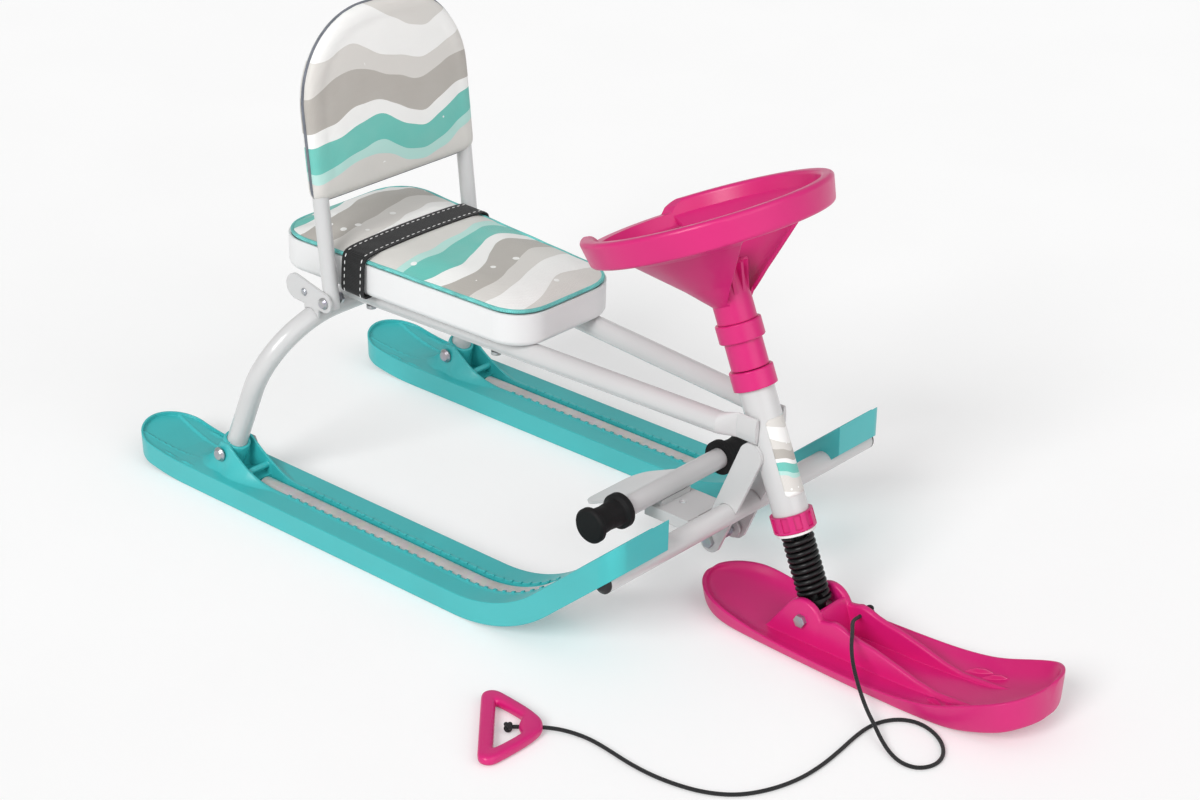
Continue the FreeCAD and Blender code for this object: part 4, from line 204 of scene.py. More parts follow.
class Surface:
    """A material with a principled shader and short ways to add nodes to it."""

    def __init__(self, name, colour, roughness, **sockets):
        self.material = bpy.data.materials.new(name)
        self.material.use_nodes = True
        self.material.diffuse_color = colour
        self.tree = self.material.node_tree
        self.shader = self.tree.nodes["Principled BSDF"]
        sockets.update(Base_Color=colour, Roughness=roughness)
        for socket, value in sockets.items():
            self.to(socket, value)
        self.place = self.node("ShaderNodeTexCoord").outputs["Object"]

    def feed(self, socket, value):
        """Link an output to a socket, or set the socket's own value."""
        if isinstance(value, bpy.types.NodeSocket):
            self.tree.links.new(value, socket)
        else:
            socket.default_value = value

    def to(self, socket, value):
        """Feed an output or a value into the shader."""
        self.feed(self.shader.inputs[socket.replace("_", " ")], value)

    def node(self, kind, settings=None, **inputs):
        """New node: settings are its own fields, inputs are outputs to link or plain values."""
        node = self.tree.nodes.new(kind)
        for field, value in (settings or {}).items():
            setattr(node, field, value)
        for name, value in inputs.items():
            self.feed(node.inputs[name.replace("_", " ")], value)
        return node

    def noise(self, scale, detail):
        """Noise over the object's own coordinates."""
        return self.node("ShaderNodeTexNoise", Vector=self.place, Scale=scale, Detail=detail).outputs["Fac"]

    def ramp(self, factor, stops, constant=False):
        """Colours along a factor."""
        node = self.node("ShaderNodeValToRGB", Fac=factor)
        node.color_ramp.interpolation = "CONSTANT" if constant else "LINEAR"
        while len(node.color_ramp.elements) < len(stops):
            node.color_ramp.elements.new(0.5)
        for element, (position, colour) in zip(node.color_ramp.elements, stops):
            element.position = position
            element.color = colour
        return node.outputs["Color"]

    def blend(self, factor, first, second):
        """One colour laid over another."""
        node = self.node("ShaderNodeMix", {"data_type": "RGBA"})
        sockets = {socket.identifier: socket for socket in node.inputs}
        for identifier, value in (("Factor_Float", factor), ("A_Color", first), ("B_Color", second)):
            self.feed(sockets[identifier], value)
        return next(socket for socket in node.outputs if socket.identifier == "Result_Color")

    def sums(self, operation, *values):
        """Arithmetic on numbers or outputs."""
        node = self.node("ShaderNodeMath", {"operation": operation})
        for socket, value in zip(node.inputs, values):
            self.feed(socket, value)
        return node.outputs["Value"]

    def spread(self, factor, low, high):
        """A factor from 0 to 1 as a value from low to high."""
        return self.node("ShaderNodeMapRange", Value=factor, To_Min=low, To_Max=high).outputs["Result"]

    def edges(self, radius):
        """Rounded normals along sharp edges, and a mask that is 1 on those edges."""
        rounded = self.node("ShaderNodeBevel", {"samples": 4}, Radius=radius).outputs["Normal"]
        flat = self.node("ShaderNodeNewGeometry").outputs["Normal"]
        node = self.node("ShaderNodeVectorMath", {"operation": "DOT_PRODUCT"})
        for socket, normal in zip(node.inputs, (rounded, flat)):
            self.feed(socket, normal)
        facing = node.outputs["Value"]
        mask = self.node("ShaderNodeMapRange", Value=facing, From_Min=0.995, From_Max=0.88)
        return rounded, mask.outputs["Result"]

    def bump(self, height, distance, strength, normal=None):
        """Relief over the surface."""
        node = self.node("ShaderNodeBump", Height=height, Strength=strength, Distance=distance)
        if normal:
            self.feed(node.inputs["Normal"], normal)
        return node.outputs["Normal"]


# A wave texture's scale for threads one metre apart
THREAD_SCALE = 0.314

# Print on the covers and the label: drift and swing in metres, waves in radians a metre,
# bands and dots a metre, and a dot's radius as a share of its cell
PRINT_DRIFT = 0.035
PRINT_SWING = 0.016
PRINT_WAVES = 26.0
PRINT_BANDS = 4.6
PRINT_DOTS = 34.0
DOT_RADIUS = 0.14


def moulded(name, colour, roughness, rounding=0.0012, mottle=0.05, grain=700, worn=1.18, **sockets):
    """Moulded or painted surface: faint flow marks, fine grain, softened and lightly worn edges."""
    surface = Surface(name, colour, roughness, **sockets)
    flow = surface.noise(9.0, 4.0)
    base = surface.ramp(flow, [(0.3, shade(colour, 1 - mottle)), (0.7, shade(colour, 1 + mottle))])
    rounded, on_edge = surface.edges(rounding)
    patches = surface.noise(60.0, 5.0)
    worn_mask = surface.sums("MULTIPLY", on_edge, surface.spread(patches, 0.1, 0.7))
    surface.to("Base Color", surface.blend(worn_mask, base, shade(colour, worn)))
    scuffs = surface.noise(35.0, 6.0)
    surface.to("Roughness", surface.spread(scuffs, roughness - 0.07, roughness + 0.09))
    surface.to("Normal", surface.bump(surface.noise(grain, 2.0), 0.0002, 0.25, rounded))
    return surface.material


def plated(name, colour, roughness):
    """Zinc plate: cloudy crystals and a fine grain."""
    surface = Surface(name, colour, roughness, Metallic=0.85)
    cells = surface.node("ShaderNodeTexVoronoi", Vector=surface.place, Scale=140.0).outputs["Color"]
    cloud = surface.noise(22.0, 4.0)
    base = surface.ramp(cloud, [(0.25, shade(colour, 0.86)), (0.75, shade(colour, 1.08))])
    surface.to("Base Color", surface.blend(0.06, base, cells))
    rounded, _ = surface.edges(0.0007)
    surface.to("Roughness", surface.spread(surface.noise(80.0, 4.0), roughness - 0.08, roughness + 0.12))
    surface.to("Normal", surface.bump(surface.noise(900.0, 2.0), 0.0001, 0.2, rounded))
    return surface.material


def woven(surface, pitch, depth):
    """Threads both ways over a cloth, on the three planes that it may face."""
    waves = []
    for direction in ("X", "Y", "Z"):
        wave = surface.node("ShaderNodeTexWave", {"bands_direction": direction, "wave_profile": "SIN"},
                            Vector=surface.place, Scale=THREAD_SCALE / pitch, Distortion=0.6, Detail=1.0)
        waves.append(wave.outputs["Fac"])
    level = surface.sums("ADD", waves[0], waves[1])
    upright = surface.sums("ADD", waves[1], waves[2])
    weave = surface.sums("MULTIPLY", level, upright)
    slub = surface.noise(450.0, 3.0)
    height = surface.sums("ADD", weave, surface.spread(slub, 0, 0.6))
    return surface.bump(height, depth, 0.5), weave


def webbing(name, colour, pitch=0.0018, depth=0.0004, roughness=0.85):
    """Tightly woven band or cord."""
    surface = Surface(name, colour, roughness, Sheen_Weight=0.1)
    normal, weave = woven(surface, pitch, depth)
    dust = surface.ramp(surface.noise(40.0, 5.0), [(0.35, shade(colour, 0.8)), (0.75, shade(colour, 1.7))])
    # Colour follows the weave's relief: painted shade in the weave's hollows and a painted highlight on its
    # crowns
    weave_shading = surface.ramp(weave, [(0.2, shade(colour, 0.6)), (1.0, shade(colour, 1.4))])
    surface.to("Base Color", surface.blend(0.5, dust, weave_shading))
    surface.to("Roughness", surface.spread(surface.noise(200.0, 3.0), roughness - 0.1, roughness + 0.1))
    surface.to("Normal", normal)
    return surface.material


def printed(name, along, across, finer=1.0):
    """Coated cloth or film with a plain print of soft waves and dots in greys, white and teal."""
    paper = linear(226, 224, 220)
    grey = linear(176, 171, 164)
    pale = linear(214, 211, 206)
    white = linear(243, 243, 241)
    teal = linear(84, 190, 178)
    mint = linear(176, 222, 214)
    surface = Surface(name, paper, 0.5, Sheen_Weight=0.15)
    parts = surface.node("ShaderNodeSeparateXYZ", Vector=surface.place)
    wander = surface.noise(7.0 * finer, 2.0)
    drift = surface.spread(wander, -PRINT_DRIFT / finer, PRINT_DRIFT / finer)
    swing = surface.sums("SINE", surface.sums("MULTIPLY", parts.outputs[across], PRINT_WAVES * finer))
    sway = surface.sums("MULTIPLY", swing, PRINT_SWING / finer)
    height = surface.sums("ADD", surface.sums("ADD", parts.outputs[along], sway), drift)
    turns = surface.sums("MULTIPLY", surface.sums("ADD", height, 1.0), PRINT_BANDS * finer)
    bands = [(0.0, white), (0.2, pale), (0.4, mint), (0.46, teal), (0.6, white), (0.68, grey), (0.86, pale)]
    stripes = surface.ramp(surface.sums("FRACT", turns), bands, True)
    cells = surface.node("ShaderNodeTexVoronoi", Vector=surface.place, Scale=PRINT_DOTS * finer,
                         Randomness=0.8)
    dots = surface.sums("LESS_THAN", cells.outputs["Distance"], DOT_RADIUS)
    rare = surface.sums("GREATER_THAN", surface.noise(11.0, 1.0), 0.5)
    dotted = surface.blend(surface.sums("MULTIPLY", dots, rare), stripes, white)
    faded = surface.blend(surface.spread(surface.noise(30.0, 5.0), 0.0, 0.16), dotted, paper)
    surface.to("Base Color", faded)
    surface.to("Roughness", surface.spread(surface.noise(120.0, 4.0), 0.4, 0.62))
    normal, _ = woven(surface, 0.0011, 0.00012)
    surface.to("Normal", surface.bump(surface.noise(24.0, 4.0), 0.0016, 0.35, normal))
    return surface.material


TEAL = linear(54, 180, 182)
PINK = linear(208, 26, 114)
MATERIALS = {
    "frame_paint": moulded("grey powder coat", linear(203, 203, 203), 0.3, mottle=0.025, grain=500,
                           worn=0.86, Coat_Weight=0.5, Coat_Roughness=0.1),
    "ski_plastic": moulded("teal moulding", TEAL, 0.36, mottle=0.05, worn=1.35, Specular_IOR_Level=0.8),
    "runner_steel": plated("bright zinc runner", linear(232, 229, 227), 0.42),
    "fixing_steel": plated("zinc fixing", linear(178, 180, 184), 0.32),
    "pan_plastic": moulded("white tray moulding", linear(231, 231, 231), 0.42, mottle=0.015, worn=0.94),
    "cover_cloth": printed("printed cover", "X", "Y"),
    "strap_webbing": webbing("black webbing", linear(13, 13, 14)),
    "pink_plastic": moulded("pink moulding", PINK, 0.33, mottle=0.05, worn=1.25),
    "white_plastic": moulded("white bush", linear(235, 235, 233), 0.4, mottle=0.02, worn=0.92),
    "black_plastic": moulded("black cap", linear(20, 20, 21), 0.5, mottle=0.12, worn=1.6),
    "grip_rubber": moulded("black grip rubber", linear(13, 13, 14), 0.66, mottle=0.15, grain=1200,
                           worn=1.8, Specular_IOR_Level=0.3),
    "spring_paint": moulded("black spring lacquer", linear(10, 10, 11), 0.36, mottle=0.1, grain=600,
                            worn=2.0, rounding=0.0004, Specular_IOR_Level=0.35),
    "cord_fibre": webbing("dark braided cord", linear(22, 22, 24), 0.0016, 0.0005),
}
BACK_COVER = printed("printed backrest cover", "Z", "Y")
TEAL_PIPING = webbing("teal piping", linear(98, 182, 177), 0.0012, 0.0002, 0.6)
LABEL_FILM = printed("printed label", "Z", "Y", 3.2)
GREY_PIPING = webbing("grey piping", linear(104, 108, 116), 0.0012, 0.0002, 0.7)
THREAD = webbing("white thread", linear(225, 225, 222), 0.0008, 0.0001, 0.7)

for part in frame["record"]["subparts"]:
    mesh = frame["nodes"][part["node"]].data
    mesh.materials.clear()
    mesh.materials.append(MATERIALS[part["material_slot"]])
for node in ("spring_seat", "steering_column"):
    frame["nodes"][node].data.materials[0] = MATERIALS["spring_paint"]


# Camera, as in the photograph
CAMERA_TURN = 41.7
CAMERA_RISE = 25.8
CAMERA_ROLL = 0.4
CAMERA_PLACE = (1.7332, -1.9705, 1.4579)
FOCAL_PIXELS = 2583.9
PHOTO_WIDTH = 1200
SENSOR_WIDTH = 36


def place_camera():
    """Camera at the photograph's angle, for an image of 1200 by 800."""
    camera = add("camera", bpy.data.cameras.new("camera"))
    facing = Matrix.Translation(CAMERA_PLACE)
    for angle, axis in ((CAMERA_TURN, "Z"), (90 - CAMERA_RISE, "X"), (CAMERA_ROLL, "Z")):
        facing = facing @ Matrix.Rotation(math.radians(angle), 4, axis)
    camera.matrix_world = facing
    camera.data.sensor_width = SENSOR_WIDTH
    camera.data.lens = SENSOR_WIDTH * FOCAL_PIXELS / PHOTO_WIDTH
    scene.camera = camera


place_camera()


# Tow cord and its knots
KNOT_STEPS = 60
KNOT_REACH = 0.0027
KNOT_SWING = 0.0013
KNOT_RISE = 0.0026
KNOT_STRAND = 0.46


def tow_cord():
    """Limp braided cord from the front ski to the handle, knotted at both ends."""
    cord, spline = curve("tow_cord_braid", "NURBS", CORD_ROUTE, CORD_DIAMETER / 2)
    cord.data.use_fill_caps = True
    spline.order_u = 3
    spline.use_endpoint_u = True
    spline.resolution_u = 10
    knots = []
    for name, end, before in (("ski", 0, 1), ("handle", -1, -2)):
        place = Vector(CORD_ROUTE[end])
        knots.append(knot(f"cord_knot_{name}", place, Vector(CORD_ROUTE[before]) - place))
    finish_piece(cord, "front_ski", "cord_fibre")
    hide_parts("tow_cord")
    for piece in knots:
        finish_piece(piece, "front_ski", "cord_fibre")
    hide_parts("cord_knots")
    tow_handle()


def knot(name, place, heading):
    """Overhand knot drawn tight round the cord's line."""
    turn = heading.to_track_quat("Z", "Y").to_matrix().to_4x4()
    points = []
    for step in range(KNOT_STEPS):
        angle = 2 * math.pi * step / KNOT_STEPS
        reach = KNOT_REACH + KNOT_SWING * math.cos(3 * angle)
        rise = KNOT_RISE * math.sin(3 * angle)
        point = Vector((reach * math.cos(2 * angle), reach * math.sin(2 * angle), rise))
        points.append(Matrix.Translation(place) @ turn @ point)
    return tube(name, points, CORD_DIAMETER * KNOT_STRAND)


# Handle, in millimetres from its nose: outer edge and opening on one side of its middle line
HANDLE = Matrix.Translation((0.20557, -0.3396, 0.006)) @ Matrix.Rotation(math.radians(-137.8), 4, "Z")
HANDLE_HALF_THICKNESS = 5.9
HANDLE_OUTER = [(0, 0), (0.8, 8), (3.5, 14), (13.9, 28.7), (30, 46), (44, 60.3), (49, 64.3), (54.4, 66.2),
                (60, 64.8), (64.3, 61), (65.8, 55)]
HANDLE_OPENING = [(25.5, 0), (24.6, 5), (22.2, 12), (21.4, 15.5), (27, 22.5), (38, 33.5), (45, 40),
                  (47.6, 42.2), (49.6, 42.6), (50.3, 41), (50.4, 38)]
# Section of its bars: share of the way from outer edge to opening, share of the half thickness
HANDLE_SECTION = [(0, -0.45), (0.12, -0.95), (0.5, -1), (0.88, -0.95), (1, -0.45)]
HANDLE_SECTION += [(share, -up) for share, up in reversed(HANDLE_SECTION)]
BAR_OUTER = 65.8
BAR_INNER = 50.4
BAR_SPREAD = 1.45
FINGER_COUNT = 9
FINGER_STEP = 3.6
FINGER_DEPTH = 0.9
MILLIMETRE = 0.001


def handle_half():
    """Outer and opening points of one half of the handle, from its nose to the middle of its long bar."""
    pairs = list(zip(HANDLE_OUTER, HANDLE_OPENING))
    for number in range(FINGER_COUNT, -1, -1):
        across = FINGER_STEP * number
        depth = FINGER_DEPTH if number % 2 else 0
        pairs.append(((BAR_OUTER, across * BAR_SPREAD), (BAR_INNER - depth, across)))
    return pairs


def tow_handle():
    """Triangular handle with rounded bars and finger ridges along its long bar."""
    half = handle_half()
    pairs = half + [((outer[0], -outer[1]), (inner[0], -inner[1])) for outer, inner in half[-2:0:-1]]
    work = bmesh.new()
    rings = []
    for outer, inner in pairs:
        ring = []
        for share, up in HANDLE_SECTION:
            point = Vector((*outer, 0)).lerp(Vector((*inner, 0)), share)
            point.z = up * HANDLE_HALF_THICKNESS
            ring.append(work.verts.new(HANDLE @ (point * MILLIMETRE)))
        rings.append(ring)
    bridge(work, rings + rings[:1])
    handle = from_bmesh("tow_handle_grip", work)
    subdivided(handle, 2)
    apply_modifiers(handle)
    finish_piece(smooth(handle), "front_ski", "pink_plastic")
    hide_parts("tow_handle")
    return handle


tow_cord()


# Soft pieces
CLOTH_VOXEL = 0.004
CLOTH_STIFFNESS = 25
CLOTH_FRAMES = 20
AIR_PRESSURE = 4
COVER_SMOOTHING = 6
LINE_SMOOTHING = 4


def swollen(name, node, shrink, cap, held):
    """Padded form grown from a solid's outer shape by air pressure inside its cover."""
    work = bmesh.new()
    work.from_mesh(frame["nodes"][node].data)
    hull = bmesh.ops.convex_hull(work, input=work.verts)
    inner = [item for item in hull["geom_interior"] if isinstance(item, bmesh.types.BMVert)]
    bmesh.ops.delete(work, geom=inner, context="VERTS")
    obj = from_bmesh(name, work)
    remesh = obj.modifiers.new("even cloth", "REMESH")
    remesh.mode = "VOXEL"
    remesh.voxel_size = CLOTH_VOXEL
    apply_modifiers(obj)
    normals = [vertex.normal.copy() for vertex in obj.data.vertices]
    for vertex, normal in zip(obj.data.vertices, normals):
        if not held(vertex.co):
            vertex.co -= normal * shrink
    blow_up(obj, cap, held)
    obj.modifiers.new("smooth cover", "SMOOTH").iterations = COVER_SMOOTHING
    subdivided(obj, 1)
    apply_modifiers(obj)
    return smooth(obj)


def blow_up(obj, cap, held):
    """Let air swell a cover, with some of its points held and none moving further than a cap."""
    start = [vertex.co.copy() for vertex in obj.data.vertices]
    pins = obj.vertex_groups.new(name="held")
    pins.add([index for index, place in enumerate(start) if held(place)], 1, "REPLACE")
    cloth = obj.modifiers.new("air", "CLOTH")
    cloth.settings.vertex_group_mass = "held"
    cloth.settings.use_pressure = True
    cloth.settings.uniform_pressure_force = AIR_PRESSURE
    cloth.settings.tension_stiffness = CLOTH_STIFFNESS
    cloth.settings.compression_stiffness = CLOTH_STIFFNESS
    cloth.settings.effector_weights.gravity = 0
    cloth.point_cache.frame_start = 1
    cloth.point_cache.frame_end = CLOTH_FRAMES
    for moment in range(1, CLOTH_FRAMES + 1):
        scene.frame_set(moment)
    apply_modifiers(obj)
    for vertex, place in zip(obj.data.vertices, start):
        move = vertex.co - place
        if move.length > cap:
            vertex.co = place + move.normalized() * cap
    scene.frame_set(1)


def contour(obj, frame_matrix, axis, level):
    """Closed line where a piece meets a plane across one axis of a frame."""
    work = bmesh.new()
    work.from_mesh(obj.data)
    normal = frame_matrix.to_3x3() @ axis
    point = frame_matrix @ (axis * level)
    found = bmesh.ops.bisect_plane(work, geom=work.verts[:] + work.edges[:] + work.faces[:], plane_co=point,
                                   plane_no=normal)
    edges = [item for item in found["geom_cut"] if isinstance(item, bmesh.types.BMEdge)]
    vertex = edges[0].verts[0]
    edge = edges[0]
    loop = []
    left = set(edges)
    while edge:
        loop.append(vertex.co.copy())
        left.discard(edge)
        vertex = edge.other_vert(vertex)
        edge = next((item for item in vertex.link_edges if item in left), None)
    work.free()
    return loop


def evened(loop, count):
    """A closed line with its points spread evenly and its small steps smoothed away."""
    runs = [(second - first).length for first, second in zip(loop, loop[1:] + loop[:1])]
    total = sum(runs)
    points = []
    index = 0
    passed = 0.0
    for step in range(count):
        target = total * step / count
        while passed + runs[index] < target:
            passed += runs[index]
            index += 1
        share = (target - passed) / runs[index]
        points.append(loop[index].lerp(loop[(index + 1) % len(loop)], share))
    for _ in range(LINE_SMOOTHING):
        points = [(points[i - 1] + 2 * points[i] + points[(i + 1) % count]) / 4 for i in range(count)]
    return points


STRAP_WIDTH = 0.037
STRAP_MIDDLE = 0.045
STRAP_THICKNESS = 0.0016
STRAP_SHARES = (-0.5, -0.44, -0.25, 0, 0.25, 0.44, 0.5)
# Depth and side slope of the strap's dent in the cushion
STRAP_PRESS = 0.0013
STRAP_SLOPE = 0.25
# Heights in the seat's own frame
SEAT_HELD = 0.043
SEAT_CROWN = 0.045
SEAT_SEAM = 0.0435
STRAP_TURN = 0.042
SEAT_CORE = 0.02
# Stitches: share of the strap's width, distance apart, lift and half sizes
STITCH_SHARE = 0.36
STITCH_STEP = 0.0085
STITCH_LIFT = 0.0009
STITCH_HALF_SIZES = (0.0026, 0.0007, 0.0004)
# Half of the strap's line, from under the tray to its middle
STRAP_LINE = [
    (0.0894, -0.0009), (0.1005, -0.0009), (0.1042, 0.001), (0.1051, 0.0055), (0.1046, 0.016),
    (0.104, 0.027), (0.1034, 0.036), (0.1027, 0.0425), (0.1004, 0.0475), (0.0955, 0.0502),
    (0.085, 0.0516), (0.065, 0.0528), (0.03, 0.0537), (0, 0.054),
]


def seat_cushion():
    """Seat cushion with a piped edge, pressed in a little under the strap."""
    seat_frame = SEAT.inverted()
    cushion = swollen("seat_cushion_cover", "seat_cushion", shrink=0.001, cap=0.003,
                      held=lambda place: (seat_frame @ place).z < SEAT_HELD)
    for vertex in cushion.data.vertices:
        place = seat_frame @ vertex.co
        away = abs(place.x - STRAP_MIDDLE) - STRAP_WIDTH / 2
        ceiling = strap_height(abs(place.y)) - STRAP_PRESS + max(0, away) * STRAP_SLOPE
        if place.z > SEAT_CROWN and place.z > ceiling:
            place.z = ceiling
            vertex.co = SEAT @ place
    finish_piece(cushion, "frame", "cover_cloth")
    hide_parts("seat_cushion")
    line = evened(contour(cushion, SEAT, Vector((0, 0, 1)), SEAT_SEAM), count=160)
    finish_piece(tube("seat_piping", line, radius=0.0024), "frame", "cover_cloth", TEAL_PIPING)


def strap_height(side):
    """Height of the strap's line above the seat at a distance from its middle."""
    table = sorted(point for point in STRAP_LINE if point[1] > STRAP_TURN)
    return along_table(table, min(side, table[-1][0]))[0]


def near_outline(node, frame_matrix, reach):
    """Test for places near a solid's outline, as it is seen along the first axis of a frame."""
    inverse = frame_matrix.inverted()
    flat = [(inverse @ vertex.co).yz for vertex in frame["nodes"][node].data.vertices]
    outline = [flat[index] for index in convex_hull_2d(flat)]
    sides = [(first, (second - first).normalized())
             for first, second in zip(outline, outline[1:] + outline[:1]) if (second - first).length > 0]

    def held(place):
        point = (inverse @ place).yz
        return min(abs(heading.cross(point - corner)) for corner, heading in sides) < reach

    return held


def backrest_pad():
    """Backrest pad over the bent tube, held round its sewn edge, with piping along that edge."""
    pad = swollen("backrest_cover", "backrest_pad", shrink=0.0015, cap=0.005,
                  held=near_outline("backrest_pad", BACK, reach=0.02))
    finish_piece(pad, "backrest", "cover_cloth", BACK_COVER)
    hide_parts("backrest_pad")
    line = evened(contour(pad, BACK, Vector((1, 0, 0)), level=0), count=200)
    finish_piece(tube("backrest_piping", line, radius=0.002), "backrest", "cover_cloth", GREY_PIPING)


def along_line(points, step):
    """Places and headings along a line of points, a step apart."""
    places = []
    rest = step / 2
    for first, second in zip(points, points[1:]):
        run = second - first
        while rest <= run.length:
            places.append((first + run.normalized() * rest, run.normalized()))
            rest += step
        rest -= run.length
    return places


def seat_strap():
    """Black webbing over the seat, with two rows of white stitches."""
    half = [Vector((0, side, up)) for side, up in STRAP_LINE]
    line = half + [Vector((0, -point.y, point.z)) for point in reversed(half[:-1])]
    work = bmesh.new()
    rows = []
    for point in line:
        row = [Vector((STRAP_MIDDLE + STRAP_WIDTH * share, point.y, point.z)) for share in STRAP_SHARES]
        rows.append([work.verts.new(SEAT @ place) for place in row])
    bridge(work, rows, closed=False)
    strap = from_bmesh("strap_band", work)
    subdivided(strap, 2)
    thickened(strap, STRAP_THICKNESS)
    apply_modifiers(strap)
    finish_piece(smooth(strap), "frame", "strap_webbing")
    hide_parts("seat_strap")
    stitches(line)


def stitches(line):
    """Two rows of short raised stitches near the strap's edges."""
    across = Vector((1, 0, 0))
    work = bmesh.new()
    for share in (-STITCH_SHARE, STITCH_SHARE):
        for place, heading in along_line(line, STITCH_STEP):
            outward = across.cross(heading)
            if outward.dot(Vector((0, place.y, place.z - SEAT_CORE))) < 0:
                outward.negate()
            middle = place + across * (STRAP_MIDDLE + STRAP_WIDTH * share) + outward * STITCH_LIFT
            axes = [axis * size for axis, size in zip((heading, across, outward), STITCH_HALF_SIZES)]
            form = Matrix.Translation(middle) @ Matrix(axes).transposed().to_4x4()
            bmesh.ops.create_uvsphere(work, u_segments=8, v_segments=6, radius=1, matrix=SEAT @ form)
    finish_piece(smooth(from_bmesh("strap_stitches", work)), "frame", "strap_webbing", THREAD)


seat_cushion()
backrest_pad()
seat_strap()


# Front ski, one smooth moulding over the solid's form

PIVOT = Vector((0.29691, 0, 0.0336))
SKI_WALL = 0.0035
SKI_FLARE = 0.005
SKI_HOLLOW = 0.0045
SKI_KEEL = 0.007
SKI_FLAT = (0.227, 0.477)
SOLE_STEP = 0.001
SKI_RIM_ROUND = (0.0007, 0.0008)
TAIL_SHARE = 0.13
TIP_SHARE = 0.105
# Shares of the length, of the half width, and of the tip's height for sole, rim and deck
SKI_FORM_SHARES = [
    (0, 0.8, 0.3, 0.5, 0.42), (0.04, 0.82, 0.17, 0.47, 0.31), (0.09, 0.84, 0.06, 0.42, 0.21),
    (0.13, 0.85, 0.015, 0.36, 0.16), (0.18, 0.87, 0, 0.29, 0.137), (0.24, 0.89, 0, 0.235, 0.135),
    (0.32, 0.92, 0, 0.205, 0.135), (0.45, 0.96, 0, 0.2, 0.135), (0.56, 0.985, 0, 0.21, 0.135),
    (0.65, 1, 0, 0.235, 0.14), (0.74, 1, 0, 0.32, 0.165), (0.8, 0.99, 0.015, 0.45, 0.2),
    (0.85, 0.97, 0.065, 0.6, 0.27), (0.9, 0.95, 0.16, 0.76, 0.38), (0.95, 0.93, 0.29, 0.89, 0.55),
    (1, 0.92, 0.42, 1, 0.78),
]
# Inside of its section: shares of the half width and of the height from deck to rim
SKI_BOWL = [(0.93, 0.68), (0.84, 0.33), (0.7, 0.1), (0.45, 0), (0, 0)]
SKI_EDGE = 0.0009
END_PLACES = (0.004, 0.03, 0.09, 0.2, 0.4, 0.66)


def ski_stations():
    """Places along the front ski, as shares of its length, and how far the round ends draw in there."""
    def drawn_in(place, power):
        return (1 - (1 - place) ** power) ** (1 / power)

    stations = [(place * TAIL_SHARE, drawn_in(place, 2)) for place in END_PLACES]
    stations += [(row[0], 1) for row in SKI_FORM_SHARES if TAIL_SHARE <= row[0] <= 1 - TIP_SHARE]
    stations += [(1 - place * TIP_SHARE, drawn_in(place, 2.4)) for place in reversed(END_PLACES)]
    return stations


def ski_side(share, narrow):
    """Half of the front ski's section: points outside up to the rim, and inside from there."""
    low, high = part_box("front_ski")
    length = high[0] - low[0]
    half, sole, rim, deck = along_table(SKI_FORM_SHARES, share)
    half *= high[1] * narrow
    sole, rim, deck = (value * high[2] for value in (sole, rim, deck))
    flare = min(SKI_FLARE, 0.4 * half)
    foot = half - flare
    place = low[0] + length * share
    hollow = SKI_HOLLOW if SKI_FLAT[0] < place < SKI_FLAT[1] else 0
    edge = foot - 4 * SKI_WALL
    outer = [(0, sole), (min(SKI_KEEL, 0.3 * foot), sole)]
    if edge > 3 * SKI_KEEL:
        outer += [(SKI_KEEL * 1.2, sole + hollow), (edge, sole + hollow), (edge + SOLE_STEP, sole)]
    else:
        outer += [(foot * 0.4, sole), (foot * 0.6, sole), (foot * 0.8, sole)]
    outer += [(foot - flare * 0.2, sole), (foot + flare * 0.3, sole + 0.12 * (rim - sole)),
              (half - flare * 0.1, rim - 0.16 * (rim - sole)), (half, rim - SKI_RIM_ROUND[1]),
              (half - SKI_RIM_ROUND[0], rim)]
    inset = half - SKI_WALL
    rise = rim - deck
    inner = [(inset + SKI_EDGE, rim), (inset, rim - SKI_EDGE)]
    inner += [(inset * wide, deck + tall * rise) for wide, tall in SKI_BOWL]
    within = low[0] + SKI_WALL + (length - 2 * SKI_WALL) * share
    return [(place, *point) for point in outer], [(within, *point) for point in inner]


def front_dish(work):
    """The front ski's dish, with its rounded tail and tip, as a cage for a smooth surface."""
    rings = []
    for share, narrow in ski_stations():
        outer, inner = ski_side(share, narrow)
        near = [work.verts.new((x, -y, z)) for x, y, z in outer + inner]
        far = [work.verts.new((x, y, z)) for x, y, z in (outer + inner)[1:-1]]
        rings.append((near, [near[0], *far, near[-1]], len(outer)))
    for (near, far, _), (next_near, next_far, _) in zip(rings, rings[1:]):
        for index in range(len(near) - 1):
            work.faces.new((near[index], near[index + 1], next_near[index + 1], next_near[index]))
            work.faces.new((far[index + 1], far[index], next_far[index], next_far[index + 1]))
    for near, far, count in (rings[0], rings[-1]):
        work.faces.new(near[:count] + far[count - 1:0:-1])
        work.faces.new((near[count - 1], near[count], far[count], far[count - 1]))
        work.faces.new(near[count:] + far[-2:count - 1:-1])


CHEEK_HEAD = 0.024
CHEEK_REAR = 0.05
CHEEK_NOSE = 0.245
CHEEK_GAP = 0.0205
CHEEK_WALL = 0.009
CHEEK_FOOT = 0.0065
CHEEK_SINK = 0.003
CHEEK_LEAST = 0.0022
CHEEK_THINNING = 0.45
CHEEK_CURL = 0.0016
CHEEK_SPLAY = 0.001
CHEEK_FLARE = 0.004
CHEEK_STEPS = 72
CREST_HEIGHT = 0.0455
# Each cheek's crest ahead of the pivot: shares of the nose's length and of the crest's height
CREST_SHARES = [(0, 0.8), (0.1, 0.9), (0.134, 0.93), (0.167, 0.99), (0.21, 0.94), (0.25, 0.86),
                (0.31, 0.79), (0.385, 0.73), (0.5, 0.58), (0.61, 0.42), (0.71, 0.33), (0.84, 0.37),
                (1, 0.46)]
